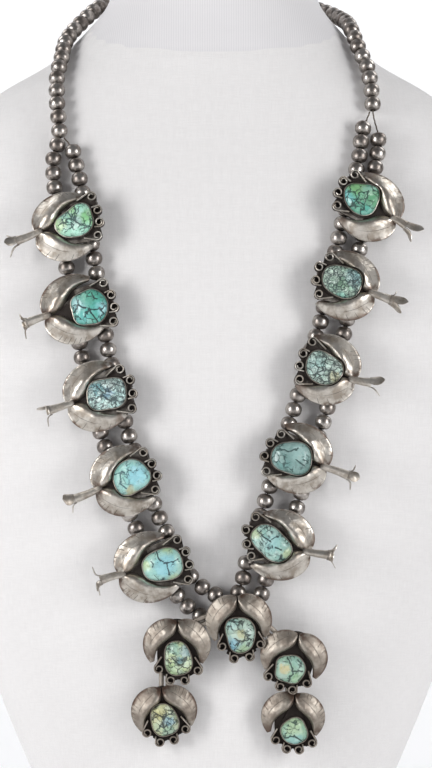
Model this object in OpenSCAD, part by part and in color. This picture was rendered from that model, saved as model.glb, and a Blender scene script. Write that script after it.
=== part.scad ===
// Squash blossom necklace: two strands of round silver beads, ten blossoms set with
// turquoise and a crescent naja with five more, lying on a linen-covered neck bust.
// Millimetres. X is the viewer's right, -Y is the front and Z is up. The origin is the
// middle of the bust's flat base.

/* [Neck bust] */
// Height of the bust from its base to the top of its neck
bust_h = 455; // [430:1:480]
// Half of the breadth at the shoulders
bust_half_w = 152; // [145:1:165]
// Depth from the middle plane to the front of the chest
bust_front = 76; // [72:1:84]
// Depth from the middle plane to the back
bust_back = 64; // [56:1:74]
// How square the level sections are, where 2 is an ellipse
bust_square = 2.3; // [2:0.05:2.6]
// Number of sides of a level section
bust_sides = 40; // [32:4:48]

/* [Beads] */
// Diameter of a bead
bead_d = 8; // [7:0.1:8.3]
// Length of a bead along its thread
bead_len = 6.9; // [6:0.1:7.2]
// Radius of the flatter ends of a bead
bead_end_r = 6; // [5:0.25:9]
// Diameter of the hole through a bead
bead_hole = 1.9; // [1.6:0.05:2.4]
// Clear space between two beads of a string
bead_gap = 0.15; // [0.12:0.01:0.4]
// Clear space between the beads and the chest
bust_gap = 0.4; // [0.35:0.05:0.7]
// Clear space between the beads and the hollow of the neck
neck_gap = 1.1; // [1:0.05:1.5]

/* [Thread] */
// Diameter of the thread
thread_d = 0.8; // [0.6:0.05:1]
// Number of sides of the thread
thread_sides = 5; // [5:1:6]

/* [Eyes on the back] */
// Outer diameter of the eye that the thread runs through
eye_d = 4.6; // [4.2:0.1:5]
// Diameter of the hole in an eye
eye_hole = 2.4; // [2.2:0.1:2.8]
// Thickness of an eye along the thread
eye_t = 1.8; // [1.4:0.1:2.2]
// Clear space between an eye and the next bead
eye_gap = 0.9; // [0.7:0.1:1.4]
// Clear space between an eye of the naja and the next bead, where the strands turn
naja_eye_gap = 2.7; // [2.5:0.1:3]
// Clear space between the beads and the back plate above them
seat_gap = 0.7; // [0.5:0.1:1.2]

/* [Leaves] */
// Length of a leaf from the junction to its tip, along the flower
leaf_l = 25; // [23:0.5:27]
// Half of the breadth over the pair of leaves
leaf_v = 16.4; // [15.3:0.1:17.8]
// Height of a leaf's dome
leaf_h = 4.4; // [3.4:0.1:5.4]
// Thickness of a leaf's rim
leaf_rim = 0.7; // [0.5:0.05:1]

/* [Setting] */
// Thickness of the back plate
plate_t = 0.9; // [0.7:0.05:1.2]
// Thickness of the bezel wall round a stone
bezel_t = 0.55; // [0.4:0.05:0.8]
// Height of the bezel above the back plate
bezel_h = 2.4; // [1.8:0.1:3]
// Clear space round a stone
stone_gap = 0.12; // [0.1:0.01:0.2]
// Height of a stone above the back plate
stone_h = 5.2; // [4.4:0.1:6]

/* [Scrolls] */
// Outer diameter of a scroll's ring
scroll_d = 5; // [4.5:0.1:5.3]
// Thickness of the scroll's ribbon
scroll_t = 0.75; // [0.6:0.05:0.9]
// Height of the ribbon above the back plate
scroll_h = 2.1; // [1.6:0.1:2.6]

/* [Stem and petals] */
// Diameter of a stem
stem_d = 3.8; // [3.4:0.1:4.2]
// Diameter of a petal
petal_d = 4.8; // [4:0.1:5.4]
// Thickness of a petal
petal_t = 0.55; // [0.45:0.05:0.8]
// Angle by which a petal bends away from the stem
petal_bend = 62; // [50:1:75]

/* [Naja] */
// Radius of the outer wire of the crescent
naja_r = 31; // [30:0.25:32]
// Distance between the two wires of the crescent
wire_pitch = 3.1; // [2.8:0.1:3.4]
// Diameter of a wire
wire_d = 2.3; // [2:0.1:2.5]
// Length of the straight legs below the crescent
naja_leg = 16; // [14:0.5:18]

/* [Clasp] */
// Diameter of the clasp
clasp_d = 5.2; // [4.6:0.1:6]
// Length of the clasp
clasp_l = 15; // [12:0.5:18]

/* [Hidden] */
eps = 0.01;
// Finish of the round faces
$fn = 48;

bead_r = bead_d / 2;
bead_pitch = bead_len + bead_gap;
// Depth of the thread behind a back plate
seat = bead_r + seat_gap;
ring_r = scroll_d / 2;

silver = [0.62, 0.60, 0.56];
turquoise = [0.36, 0.72, 0.66];
linen = [0.90, 0.89, 0.88];
cord_tan = [0.35, 0.30, 0.25];

// Sections of the bust, as shares: height, half breadth, front depth, back depth
BUST = [
    [0.000, 0.480, 0.820, 0.820],
    [0.080, 0.590, 0.935, 0.880],
    [0.165, 0.695, 0.985, 0.920],
    [0.265, 0.800, 1.000, 0.955],
    [0.395, 0.905, 1.000, 0.990],
    [0.525, 0.975, 0.950, 1.000],
    [0.635, 1.000, 0.860, 0.990],
    [0.715, 0.945, 0.765, 0.935],
    [0.760, 0.835, 0.705, 0.885],
    [0.800, 0.690, 0.655, 0.830],
    [0.830, 0.535, 0.625, 0.785],
    [0.853, 0.450, 0.610, 0.765],
    [0.878, 0.380, 0.600, 0.760],
    [0.898, 0.340, 0.600, 0.765],
    [0.920, 0.329, 0.605, 0.780],
    [1.000, 0.339, 0.625, 0.810]
];

// Thread round the neck, from the clasp to the fork, as turn and height
NECK_LEFT = [[-180, 416], [-150, 415], [-122, 411], [-102, 406], [-92, 400], [-85, 394],
             [-74, 387], [-60, 379], [-49, 371.5], [-40, 362], [-33, 349]];
NECK_RIGHT = [[180, 416], [150, 414], [122, 408], [104, 402], [90, 397], [74, 391.5],
              [62, 384], [51, 374], [42, 365]];

// Strands from the fork to the naja, as x, z and 1 where an eye of a blossom lies
OUTER_LEFT = [[-72.5, 338, 0], [-75, 329, 0], [-74.5, 314, 0], [-71.5, 296, 1],
              [-68.5, 276, 0], [-65, 258, 1], [-61, 234, 0], [-56.5, 216, 1],
              [-51.5, 197, 0], [-44, 175, 1], [-36, 155.5, 0], [-26.5, 138.5, 1],
              [-19, 126.5, 0], [-10, 117, 0], [-2, 112.5, 0]];
OUTER_RIGHT = [[74.5, 351, 0], [77, 339, 0], [75.5, 324, 0], [73, 305.5, 1],
               [68, 286, 0], [64.5, 266.5, 1], [60.5, 246.5, 0], [56, 227, 1],
               [51.5, 207.5, 0], [44, 186.5, 1], [38.5, 165.5, 0], [31, 147, 1],
               [25, 134.5, 0], [21.5, 123.5, 0], [15, 114.5, 0]];
INNER_LEFT = [[-70.2, 338, 0], [-66, 331.5, 0], [-62.5, 317, 0], [-59, 300, 1], [-56, 282, 0],
              [-52.5, 262, 1], [-49.5, 241, 0], [-44.5, 219.5, 1], [-39.5, 199, 0],
              [-32.5, 180, 1], [-25, 160, 0], [-16, 143, 1], [-10, 132, 0],
              [-4, 127, 0], [2, 123.5, 0]];
INNER_RIGHT = [[73, 350.4, 0], [69.5, 341, 0], [68, 328, 0], [63.5, 311.5, 1], [58.5, 292, 0],
               [54, 272, 1], [50, 253, 0], [43.5, 233, 1], [38, 214, 0],
               [31, 192, 1], [24.5, 170.5, 0], [18, 149.5, 1], [14.5, 138, 0],
               [13, 129.5, 0], [10.3, 123.8, 0]];
// Bare thread from each fork to the first bead: left outer and inner, right outer and inner
FORK_ROOM = [[0.2, 4], [7.5, 2.5]];
// Where the two strands pass the naja
NAJA_OUTER = [7, 111];
NAJA_INNER = [6.5, 120.5];

// Blossoms: angle of the flower above the level as seen from the front, middle of its eyes
// along and across it,
// then the stem's length, the angle by which the stem droops and the turn of its petals
BLOSSOM_LEFT = [
    [14.0, 17.4, 2.6, 11.5, 9, 20],
    [16.0, 19.7, 2.1, 10.5, 3, 50],
    [17.0, 16.7, 0.7, 10.5, 1, 0],
    [18.5, 15.8, -0.5, 12.5, 4, 80],
    [15.5, 22.8, 0.9, 10.5, -1.5, 45]
];
BLOSSOM_RIGHT = [
    [29.5, 19.1, -2.5, 10.5, 1.5, 75],
    [18.0, 15.3, -1.6, 12.5, 2, 5],
    [21.5, 15.7, -0.8, 9.5, -12, 60],
    [19.5, 14.8, -1.4, 13.0, -1, 30],
    [13.5, 19.3, 0.9, 10.5, -4, 95]
];

// Stones: place along and across the flower, length, width, turn, size of the lumps,
// number of the lumps and their turn
STONE_LEFT = [
    [19.2, 0.6, 19.7, 15.2, 18, 0.16, 3, 60],
    [21.1, -1.6, 17.5, 16.6, 0, 0.06, 5, 0],
    [18.6, -0.6, 19.8, 15.0, -4, 0.08, 4, 30],
    [17.3, 0.6, 17.8, 15.8, 14, 0.09, 3, 100],
    [20.7, -0.7, 19.4, 15.2, 0, 0.08, 3, 60]
];
STONE_RIGHT = [
    [19.0, -1.1, 17.6, 16.2, 20, 0.15, 3, 0],
    [15.9, -1.0, 19.6, 15.2, 0, 0.09, 3, 109],
    [15.3, 0.2, 18.2, 15.0, -6, 0.09, 3, 80],
    [16.3, 0.8, 20.0, 15.8, 10, 0.11, 3, 15],
    [18.0, 0.2, 21.2, 13.2, -28, 0.05, 4, 0]
];

// Flowers of the naja, from the middle of the crescent: x, z, turn, rise, and the leaves'
// length and breadth as shares of a blossom's
NAJA_FLOWER = [
    [4.3, 38.8, 4, 0.1, 0.81, 0.93],
    [-23.5, 27.2, -1, 0.05, 0.80, 0.95],
    [-31.0, -5.0, 7, 0.0, 0.78, 0.93],
    [32.8, 21.0, -11, 0.1, 0.78, 0.95],
    [31.2, -8.0, -4, 0.05, 0.76, 0.90]
];
STONE_NAJA = [
    [17.4, 0.3, 17.8, 14.0, 4, 0.12, 3, 110],
    [17.4, 0.6, 16.8, 12.8, 10, 0.08, 3, 75],
    [14.8, -0.4, 16.0, 12.8, 10, 0.08, 3, 75],
    [16.6, -0.7, 13.6, 14.0, 0, 0.07, 5, 25],
    [17.0, 1.0, 12.8, 12.2, 30, 0.08, 3, 50]
];
// Middle of the crescent
NAJA_MID = [6.5, 86];

// Edges of a leaf as control points, in shares of its length and half breadth
LEAF_OUTER = [[-0.02, 0.02], [-0.25, 0.62], [0.42, 1.42], [1.00, 0.76]];
LEAF_INNER = [[0.03, 0.02], [0.50, -0.06], [0.35, 0.62], [0.97, 0.70]];
leaf_rows = 10;
leaf_cols = 6;
// How a leaf's dome rises along its length (start, share of the length, ease and fullness)
// and over its breadth (ease and fullness)
LEAF_SWELL = [0.05, 0.94, 0.85, 0.7];
LEAF_DOME = [1.15, 0.75];
petal_sides = 10;
// Sides of the round pieces that are soldered into the leaves
round_sides = 12;
// How far a petal's middle stands from the stem, as a share of its diameter
petal_out = 0.42;
// Heights in the back plate, as shares of its thickness, from which each piece rises
leaf_sink = 0.4;
bezel_sink = 0.55;
scroll_sink = 0.7;
// Where a ribbon leaves the bezel, as a multiple of its ring's angle
scroll_root = 1.55;
// Back plate: middle and size of its disc as shares of the leaves, and how far it reaches
// under the rings as a share of their radius
PLATE_DISC = [0.46, 0.66];
plate_reach = 0.6;
// Breadth of the strip that joins an eye to its plate, as a share of the eye's diameter
eye_neck = 0.6;
// How far the strip of the naja's eyes reaches into the plate, as a share of its thickness
naja_eye_sink = 0.8;
// How deep the naja's plates are soldered into its wires
solder = 0.25;

// Levels of a stone, as shares of its height and of its outline
STONE_LEVEL = [[0.00, 0.95], [0.42, 1.00], [0.72, 0.90], [0.92, 0.62], [1.00, 0.24]];
stone_sides = 20;
// How square a stone's outline is, where 2 is an ellipse
stone_square = 2.5;

// Angles of the four scrolls round the stone, and how far each stands off its bezel
SCROLLS = [[46, 1.6], [15, 0.1], [-15, 0.1], [-46, 1.6]];

// Levels of the bust's skin, as shares of its height, closer together above the shoulders
bust_shoulder = 0.702;
bust_levels = concat(
    [for (k = [0:12]) bust_shoulder * k / 13],
    [for (k = [0:11]) mix(bust_shoulder, 1, k / 11)]);

BLOSSOMS = [1, 2, 3, 4, 5];
function numbered(name) = [for (k = BLOSSOMS) str(name, "_", k)];

// Vectors
function unit(v) = v / norm(v);
function mix(a, b, t) = a + (b - a) * t;
function last(list) = list[len(list) - 1];
function reversed(list) = [for (k = [len(list) - 1:-1:0]) list[k]];
function curved(a, b, c, d, t) =
    0.5 * (2 * b + (c - a) * t + (2 * a - 5 * b + 4 * c - d) * t * t
           + (3 * b - a - 3 * c + d) * t * t * t);
function bezier(p, t) =
    p[0] * pow(1 - t, 3) + 3 * p[1] * t * pow(1 - t, 2)
    + 3 * p[2] * t * t * (1 - t) + p[3] * pow(t, 3);

// Value of one column of the bust's sections at a share of its height
function bust_slope(k, col) =
    let (a = max(k - 1, 0), b = min(k + 1, len(BUST) - 1))
    (BUST[b][col] - BUST[a][col]) / (BUST[b][0] - BUST[a][0]);
function bust_share(h, col) =
    let (k = max([for (i = [0:len(BUST) - 2]) if (BUST[i][0] <= h || i == 0) i]),
         step = BUST[k + 1][0] - BUST[k][0],
         t = (h - BUST[k][0]) / step,
         a = BUST[k][col], b = BUST[k + 1][col],
         ma = bust_slope(k, col) * step, mb = bust_slope(k + 1, col) * step)
    a * (1 + 2 * t) * pow(1 - t, 2) + ma * t * pow(1 - t, 2)
    + b * t * t * (3 - 2 * t) + mb * t * t * (t - 1);

// Point of the bust's skin at a turn from the front and a height, and its outward normal
function signed_pow(v, e) = sign(v) * pow(abs(v), e);
function skin(turn, z) =
    let (h = z / bust_h, c = cos(turn), e = 2 / bust_square,
         depth = c > 0 ? bust_front * bust_share(h, 2) : bust_back * bust_share(h, 3))
    [bust_half_w * bust_share(h, 1) * signed_pow(sin(turn), e), -depth * signed_pow(c, e), z];
function skin_normal(turn, z) =
    unit(cross(skin(turn + 0.5, z) - skin(turn - 0.5, z),
               skin(turn, z + 0.5) - skin(turn, z - 0.5)));
function turn_at(x, z) =
    sign(x) * asin(pow(abs(x) / (bust_half_w * bust_share(z / bust_h, 1)), bust_square / 2));
function above(turn, z, d) = skin(turn, z) + skin_normal(turn, z) * d;

// Routes of the two threads, as turn, height, whether an eye lies there and the clear space
function from_front(rows) = [for (r = rows) [turn_at(r[0], r[1]), r[1], r[2], bust_gap]];
function from_neck(rows) = [for (r = rows) [r[0], r[1], 0, neck_gap]];
outer_route = concat(
    from_neck(NECK_LEFT), from_front(OUTER_LEFT),
    from_front([[NAJA_OUTER[0], NAJA_OUTER[1], 1]]),
    from_front(reversed(OUTER_RIGHT)), from_neck(reversed(NECK_RIGHT)));
inner_route = concat(
    from_front(INNER_LEFT), from_front([[NAJA_INNER[0], NAJA_INNER[1], 1]]),
    from_front(reversed(INNER_RIGHT)));

// Smooth path along a route, its running length, and a place on it
steps = 6;
function route_point(r, k, t) =
    let (n = len(r) - 1)
    curved(r[max(k - 1, 0)], r[k], r[min(k + 1, n)], r[min(k + 2, n)], t);
function path_of(r) = [
    for (k = [0:len(r) - 2]) for (j = [0:steps - 1])
        let (p = route_point(r, k, j / steps)) above(p[0], p[1], bead_r + p[3]),
    above(last(r)[0], last(r)[1], bead_r + last(r)[3])];
function lengths_of(p) = [for (k = 0, s = 0; k < len(p);
    s = s + (k + 1 < len(p) ? norm(p[k + 1] - p[k]) : 0), k = k + 1) s];
function at_length(p, run, s) =
    let (k = max([for (i = [0:len(run) - 2]) if (run[i] <= s || i == 0) i]))
    mix(p[k], p[k + 1], (s - run[k]) / (run[k + 1] - run[k]));
function along(p, run, s) = unit(at_length(p, run, s + 1) - at_length(p, run, s - 1));

outer_path = path_of(outer_route);
inner_path = path_of(inner_route);
outer_run = lengths_of(outer_path);
inner_run = lengths_of(inner_path);

// Running length at each eye, and at the two forks
function eyes_of(r, run) = [for (k = [0:len(r) - 1]) if (r[k][2] == 1) run[k * steps]];
outer_eyes = eyes_of(outer_route, outer_run);
inner_eyes = eyes_of(inner_route, inner_run);
fork_left = outer_run[len(NECK_LEFT) * steps];
fork_right = outer_run[(len(outer_route) - 1 - len(NECK_RIGHT)) * steps];

// Running lengths of the beads that fill a stretch, packed down towards its end. Where the
// path turns, two beads stand further apart by what their round ends need.
eye_room = eye_t / 2 + eye_gap;
naja_room = eye_t / 2 + naja_eye_gap;
function turned(p, run, a, b) = acos(min(1, along(p, run, a) * along(p, run, b))) * PI / 180;
function next_bead(p, run, s, back) =
    s + back * (bead_pitch + bead_end_r / 4 * pow(turned(p, run, s, s + back * bead_pitch), 2));
function beads_in(p, run, from, to) =
    let (back = sign(from - to))
    [for (s = to + back * bead_len / 2; back * (from - s) >= bead_len / 2;
          s = next_bead(p, run, s, back)) s];
function strand_beads(p, run, start, eyes) = [
    for (k = [0:len(eyes) - 1])
        let (from = k == 0 ? start : eyes[k - 1],
             way = sign(eyes[k] - from),
             room = k == 0 ? 0 : eye_room,
             end_room = k == len(eyes) - 1 ? naja_room : eye_room)
        for (s = beads_in(p, run, from + way * room, eyes[k] - way * end_room)) s];

// Eyes of one side in order from the fork, with the naja's eye last
function side_eyes(eyes, side) = side == "left"
    ? [for (k = [0:5]) eyes[k]]
    : [for (k = [0:5]) eyes[len(eyes) - 1 - k]];

// Frame of a flower: its along, across and outward directions and its origin
// Direction in a plane square to w that shows as d from the front
function seen_as(d, w) = unit([d[0], -(d[0] * w[0] + d[2] * w[2]) / w[1], d[2]]);
function frame_of(u, w, o) = [u, cross(w, u), w, o];
function placed(f) = [
    [f[0][0], f[1][0], f[2][0], f[3][0]],
    [f[0][1], f[1][1], f[2][1], f[3][1]],
    [f[0][2], f[1][2], f[2][2], f[3][2]],
    [0, 0, 0, 1]];
function local(f, p) = let (d = p - f[3]) [d * f[0], d * f[1], d * f[2]];

function eye_point(inner, side, k) = inner
    ? at_length(inner_path, inner_run, side_eyes(inner_eyes, side)[k])
    : at_length(outer_path, outer_run, side_eyes(outer_eyes, side)[k]);
function blossom_row(side, k) = side == "left" ? BLOSSOM_LEFT[k] : BLOSSOM_RIGHT[k];
function stone_row(side, k) = side == "left" ? STONE_LEFT[k] : STONE_RIGHT[k];
function blossom_frame(side, k) =
    let (row = blossom_row(side, k),
         a = eye_point(false, side, k), b = eye_point(true, side, k),
         mid = (a + b) / 2,
         w = skin_normal(turn_at(mid[0], mid[2]), mid[2]),
         across = side == "left" ? 1 : -1,
         u = seen_as([across * cos(row[0]), 0, sin(row[0])], w),
         v = cross(w, u))
    frame_of(u, w, mid + w * seat - u * row[1] - v * row[2]);

// Frame of the naja: its back lies over the beads at the top and on the chest below
naja_top = (eye_point(false, "left", 5) + eye_point(true, "left", 5)) / 2;
naja_low_z = NAJA_MID[1] - naja_leg - leaf_l;
naja_low = skin(turn_at(NAJA_MID[0], naja_low_z), naja_low_z);
naja_lean = atan((naja_low[1] - bust_gap - (naja_top[1] - seat)) / (naja_top[2] - naja_low_z));
naja_w = [0, -cos(naja_lean), sin(naja_lean) * -1];
naja_u = [1, 0, 0];
naja_up = cross(naja_w, naja_u);
naja_frame = frame_of(naja_u, naja_w,
    [NAJA_MID[0], naja_top[1] - seat + (naja_top[2] - NAJA_MID[1]) * tan(naja_lean), NAJA_MID[1]]);

// Half breadth of a stone's outline at an angle round it
function stone_reach(row, a) =
    let (b = a - row[4], e = stone_square,
         base = 1 / pow(pow(abs(cos(b)) / (row[2] / 2), e)
                        + pow(abs(sin(b)) / (row[3] / 2), e), 1 / e))
    base * (1 + row[5] * (cos(row[6] * (a - row[7])) - 1) / 2);
function stone_outline(row, grow) = [for (k = [0:stone_sides - 1])
    let (a = 360 * k / stone_sides, r = stone_reach(row, a) + grow)
    [row[0] + r * cos(a), row[1] + r * sin(a)]];

// Triangles of a grid of points with rows and cols cells, and of a ring of rows
function grid(rows, cols, start) = [for (i = [0:rows - 1]) for (j = [0:cols - 1])
    let (a = start + i * (cols + 1) + j, b = a + cols + 1)
    for (f = [[a, a + 1, b + 1], [a, b + 1, b]]) f];
function rings(rows, sides) = [for (i = [0:rows - 2]) for (j = [0:sides - 1])
    let (a = i * sides + j, b = i * sides + (j + 1) % sides)
    for (f = [[a, a + sides, b], [b, a + sides, b + sides]]) f];
function caps(rows, sides) = [for (j = [1:sides - 2])
    for (f = [[0, j, j + 1],
              [(rows - 1) * sides, (rows - 1) * sides + j + 1, (rows - 1) * sides + j]]) f];

// A closed skin through rings of points that turn anticlockwise as they rise
module ringed(list) {
    rows = len(list);
    sides = len(list[0]);
    polyhedron([for (r = list) for (p = r) p],
               concat([for (f = rings(rows, sides)) f], [for (f = caps(rows, sides)) f]));
}

module neck_bust() {
    color(linen)
    ringed([for (h = bust_levels)
        [for (k = [0:bust_sides - 1]) skin(360 * k / bust_sides, h * bust_h)]]);
}

// A thread swept along a path, with the ring's sides held square to it and its first side
// turned from a direction that the path never takes
off_path = [0, -1, 0.3];
module thread(points) {
    n = len(points);
    color(cord_tan)
    ringed([for (k = [0:n - 1])
        let (t = unit(points[min(k + 1, n - 1)] - points[max(k - 1, 0)]),
             side = unit(cross(t, off_path)), up = cross(side, t))
        [for (j = [0:thread_sides - 1])
            let (a = -360 * j / thread_sides)
            points[k] + (side * cos(a) + up * sin(a)) * thread_d / 2]]);
}

// Running lengths of a thread's rings, two to a bead
function thread_stops(from, to) =
    let (n = ceil((to - from) / (bead_pitch / 2))) [for (k = [0:n]) mix(from, to, k / n)];

// Half of the clasp, and how far each end of the long thread stops short of its middle
clasp_reach = clasp_l / 2;
clasp_wall = 1.5;
module thread_outer() {
    thread([for (s = thread_stops(clasp_wall, last(outer_run) - clasp_wall))
        at_length(outer_path, outer_run, s)]);
}

module thread_inner() {
    thread([for (s = thread_stops(0, last(inner_run))) at_length(inner_path, inner_run, s)]);
}

module bead() {
    rotate_extrude()
    intersection() {
        circle(r = bead_r);
        translate([0, bead_end_r - bead_len / 2]) circle(r = bead_end_r);
        translate([0, bead_len / 2 - bead_end_r]) circle(r = bead_end_r);
        translate([bead_hole / 2, -bead_len / 2]) square([bead_r, bead_len]);
    }
}

// Turns the Z axis of its children to a direction and moves them to a point
module aimed(p, t) {
    side = unit(cross(t, [0.1, -1, 0]));
    multmatrix(placed([side, cross(t, side), t, p])) children();
}

module string_of(path, run, stops) {
    color(silver)
    for (s = stops)
        aimed(at_length(path, run, s), along(path, run, s)) bead();
}

module neck_beads(side) {
    span = side == "left" ? [clasp_reach + bead_gap, fork_left]
                          : [last(outer_run) - clasp_reach - bead_gap, fork_right];
    string_of(outer_path, outer_run, beads_in(outer_path, outer_run, span[0], span[1]));
}

module strand_outer(side) {
    start = side == "left" ? fork_left + FORK_ROOM[0][0] : fork_right - FORK_ROOM[1][0];
    string_of(outer_path, outer_run,
              strand_beads(outer_path, outer_run, start, side_eyes(outer_eyes, side)));
}

module strand_inner(side) {
    start = side == "left" ? FORK_ROOM[0][1] : last(inner_run) - FORK_ROOM[1][1];
    string_of(inner_path, inner_run,
              strand_beads(inner_path, inner_run, start, side_eyes(inner_eyes, side)));
}

module clasp() {
    color(silver)
    aimed(outer_path[0], [1, 0, 0])
    difference() {
        cylinder(d = clasp_d, h = clasp_l, center = true);
        for (turn = [0, 180])
            rotate([turn, 0, 0]) translate([0, 0, clasp_wall / 2])
                cylinder(d = bead_hole, h = clasp_reach);
    }
}

// One domed leaf on the +Y side of the flower, its size as shares of a blossom's
module leaf(size) {
    scale_to = [leaf_l * size[0], leaf_v * size[1]];
    foot = plate_t * leaf_sink;
    top = [for (i = [0:leaf_rows]) for (j = [0:leaf_cols])
        let (t = i / leaf_rows, q = j / leaf_cols,
             p = mix(bezier(LEAF_OUTER, t), bezier(LEAF_INNER, t), q),
             swell = pow(sin(180 * pow(t * LEAF_SWELL[1] + LEAF_SWELL[0], LEAF_SWELL[2])),
                         LEAF_SWELL[3]),
             dome = pow(sin(180 * pow(q, LEAF_DOME[0])), LEAF_DOME[1]))
        [p[0] * scale_to[0], p[1] * scale_to[1], foot + leaf_rim + leaf_h * swell * dome]];
    low = [for (i = [0:leaf_rows]) for (e = [LEAF_OUTER, LEAF_INNER])
        let (p = bezier(e, i / leaf_rows)) [p[0] * scale_to[0], p[1] * scale_to[1], foot]];
    n = len(top);
    w = leaf_cols + 1;
    upper = [for (f = grid(leaf_rows, leaf_cols, 0)) [f[0], f[1], f[2]]];
    under = [for (f = grid(leaf_rows, 1, n)) [f[0], f[2], f[1]]];
    sides = [for (i = [0:leaf_rows - 1])
        for (f = [[i * w, (i + 1) * w, n + 2 * i], [(i + 1) * w, n + 2 * i + 2, n + 2 * i],
                  [i * w + leaf_cols, n + 2 * i + 1, (i + 1) * w + leaf_cols],
                  [(i + 1) * w + leaf_cols, n + 2 * i + 1, n + 2 * i + 3]]) f];
    ends = [for (i = [0, leaf_rows])
        let (a = i * w, lo = n + 2 * i, flip = i == 0)
        for (f = concat([for (j = [0:leaf_cols - 1]) [lo, a + j + 1, a + j]],
                        [[lo, lo + 1, a + leaf_cols]]))
            flip ? f : reversed(f)];
    polyhedron(concat(top, low), [for (f = concat(upper, under, sides, ends)) reversed(f)]);
}

// A scroll: a ribbon that leaves the bezel and ends in a ring
module scroll(row, a, off) {
    r = stone_reach(row, a) + stone_gap + bezel_t / 2 + ring_r + off;
    b = a * scroll_root;
    root = stone_reach(row, b) + stone_gap + bezel_t / 2;
    middle = [row[0] + r * cos(a), row[1] + r * sin(a)];
    foot = [row[0] + root * cos(b), row[1] + root * sin(b)];
    way = atan2(middle[1] - foot[1], middle[0] - foot[0]);
    outer = [-sin(way), cos(way)] * (ring_r - scroll_t / 2) * sign(a);
    difference() {
        union() {
            translate(middle) circle(r = ring_r, $fn = round_sides);
            translate(foot + outer) rotate(way)
                translate([0, -scroll_t / 2]) square([norm(middle - foot), scroll_t]);
        }
        translate(middle) circle(r = ring_r - scroll_t, $fn = round_sides);
    }
}

module back_plate(row, size) {
    fan = [for (s = SCROLLS) stone_reach(row, s[0]) + stone_gap + ring_r + s[1]];
    linear_extrude(plate_t)
    union() {
        translate([leaf_l * size[0] * PLATE_DISC[0], 0])
            circle(r = leaf_v * size[1] * PLATE_DISC[1], $fn = round_sides);
        polygon(concat(
            [[row[0] - row[2] / 4, row[1] - row[3] / 2 - bezel_t]],
            [for (k = [3:-1:0])
                [row[0], row[1]] + (fan[k] + ring_r * plate_reach)
                                   * [cos(SCROLLS[k][0]), sin(SCROLLS[k][0])]],
            [[row[0] - row[2] / 4, row[1] + row[3] / 2 + bezel_t]]));
    }
}

// A wall that stands on the back plate, sunk into it by a share of its thickness
module standing(sink, height) {
    translate([0, 0, plate_t * sink]) linear_extrude(height + plate_t * (1 - sink)) children();
}

// A pair of leaves, the bezel and the four scrolls on one back plate
module flower(row, size) {
    back_plate(row, size);
    difference() {
        union() {
            leaf(size);
            mirror([0, 1, 0]) leaf(size);
            standing(bezel_sink, bezel_h) polygon(stone_outline(row, stone_gap + bezel_t));
            for (s = SCROLLS)
                standing(scroll_sink, scroll_h) scroll(row, s[0], s[1]);
        }
        translate([0, 0, plate_t]) linear_extrude(leaf_h * 3)
            polygon(stone_outline(row, stone_gap));
    }
}

// An eye behind a plate whose middle lies at a height, with its hole along the breadth
module eye(p, top) {
    translate(p) rotate([90, 0, 0]) difference() {
        union() {
            cylinder(d = eye_d, h = eye_t, center = true);
            translate([-eye_d * eye_neck / 2, 0, -eye_t / 2])
                cube([eye_d * eye_neck, top - p[2], eye_t]);
        }
        cylinder(d = eye_hole, h = eye_t * 2, center = true);
    }
}

module stem(length, droop, turn) {
    height = plate_t + stem_d / 2;
    translate([0, 0, height]) rotate([0, 0, 180 + droop]) rotate([0, 90, 0]) {
        translate([0, 0, -stem_d]) cylinder(d = stem_d, h = length + stem_d, $fn = round_sides);
        for (k = [0:2])
            rotate([0, 0, turn + 120 * k])
            translate([stem_d / 4, 0, length - 2 * petal_t]) rotate([0, -90 + petal_bend, 0])
            linear_extrude(petal_t)
                translate([petal_d * petal_out, 0]) circle(d = petal_d, $fn = petal_sides);
    }
}

module blossom(side, k) {
    row = blossom_row(side, k);
    f = blossom_frame(side, k);
    droop = side == "left" ? row[4] : -row[4];
    color(silver)
    multmatrix(placed(f)) {
        flower(stone_row(side, k), [1, 1]);
        stem(row[3], droop, row[5]);
        for (inner = [false, true]) eye(local(f, eye_point(inner, side, k)), plate_t / 2);
    }
}

// A lumpy stone, worn smooth, standing on the back plate
module stone(row) {
    color(turquoise)
    ringed([for (level = STONE_LEVEL)
        [for (k = [0:stone_sides - 1])
            let (a = 360 * k / stone_sides, r = stone_reach(row, a) * level[1],
                 dip = level[0] * row[5] * (1 + cos(2 * row[6] * (a - row[7]))) / 2)
            [row[0] + r * cos(a), row[1] + r * sin(a),
             plate_t + stone_gap + (stone_h - stone_gap) * level[0] * (1 - dip)]]]);
}

module blossom_stone(side, k) {
    multmatrix(placed(blossom_frame(side, k))) stone(stone_row(side, k));
}

// Frame of one flower of the naja, which hangs down from the wires with its plate's back
// soldered into them
flower_rise = wire_d - solder;
function naja_flower_frame(k) =
    let (r = NAJA_FLOWER[k])
    frame_of([sin(r[2]), -cos(r[2]), 0], [0, 0, 1], [r[0], r[1], flower_rise + r[3]]);

module naja_wires() {
    for (r = [naja_r, naja_r - wire_pitch])
        translate([0, 0, wire_d / 2]) {
            rotate_extrude(angle = 180) translate([r, 0]) circle(d = wire_d);
            for (k = [-1, 1])
                translate([k * r, eps, 0]) rotate([90, 0, 0]) cylinder(d = wire_d, h = naja_leg);
        }
}

module naja() {
    color(silver)
    multmatrix(placed(naja_frame)) {
        naja_wires();
        for (k = [0:4]) multmatrix(placed(naja_flower_frame(k)))
            flower(STONE_NAJA[k], [NAJA_FLOWER[k][4], NAJA_FLOWER[k][5]]);
        for (inner = [false, true])
            crosswise(local(naja_frame, eye_point(inner, "left", 5)));
    }
}

// An eye of the naja, turned so that the strand passes along X
module crosswise(p) {
    rotate([0, 0, 90])
        eye([p[1], -p[0], p[2]], flower_rise + NAJA_FLOWER[0][3] + plate_t * naja_eye_sink);
}

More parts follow.
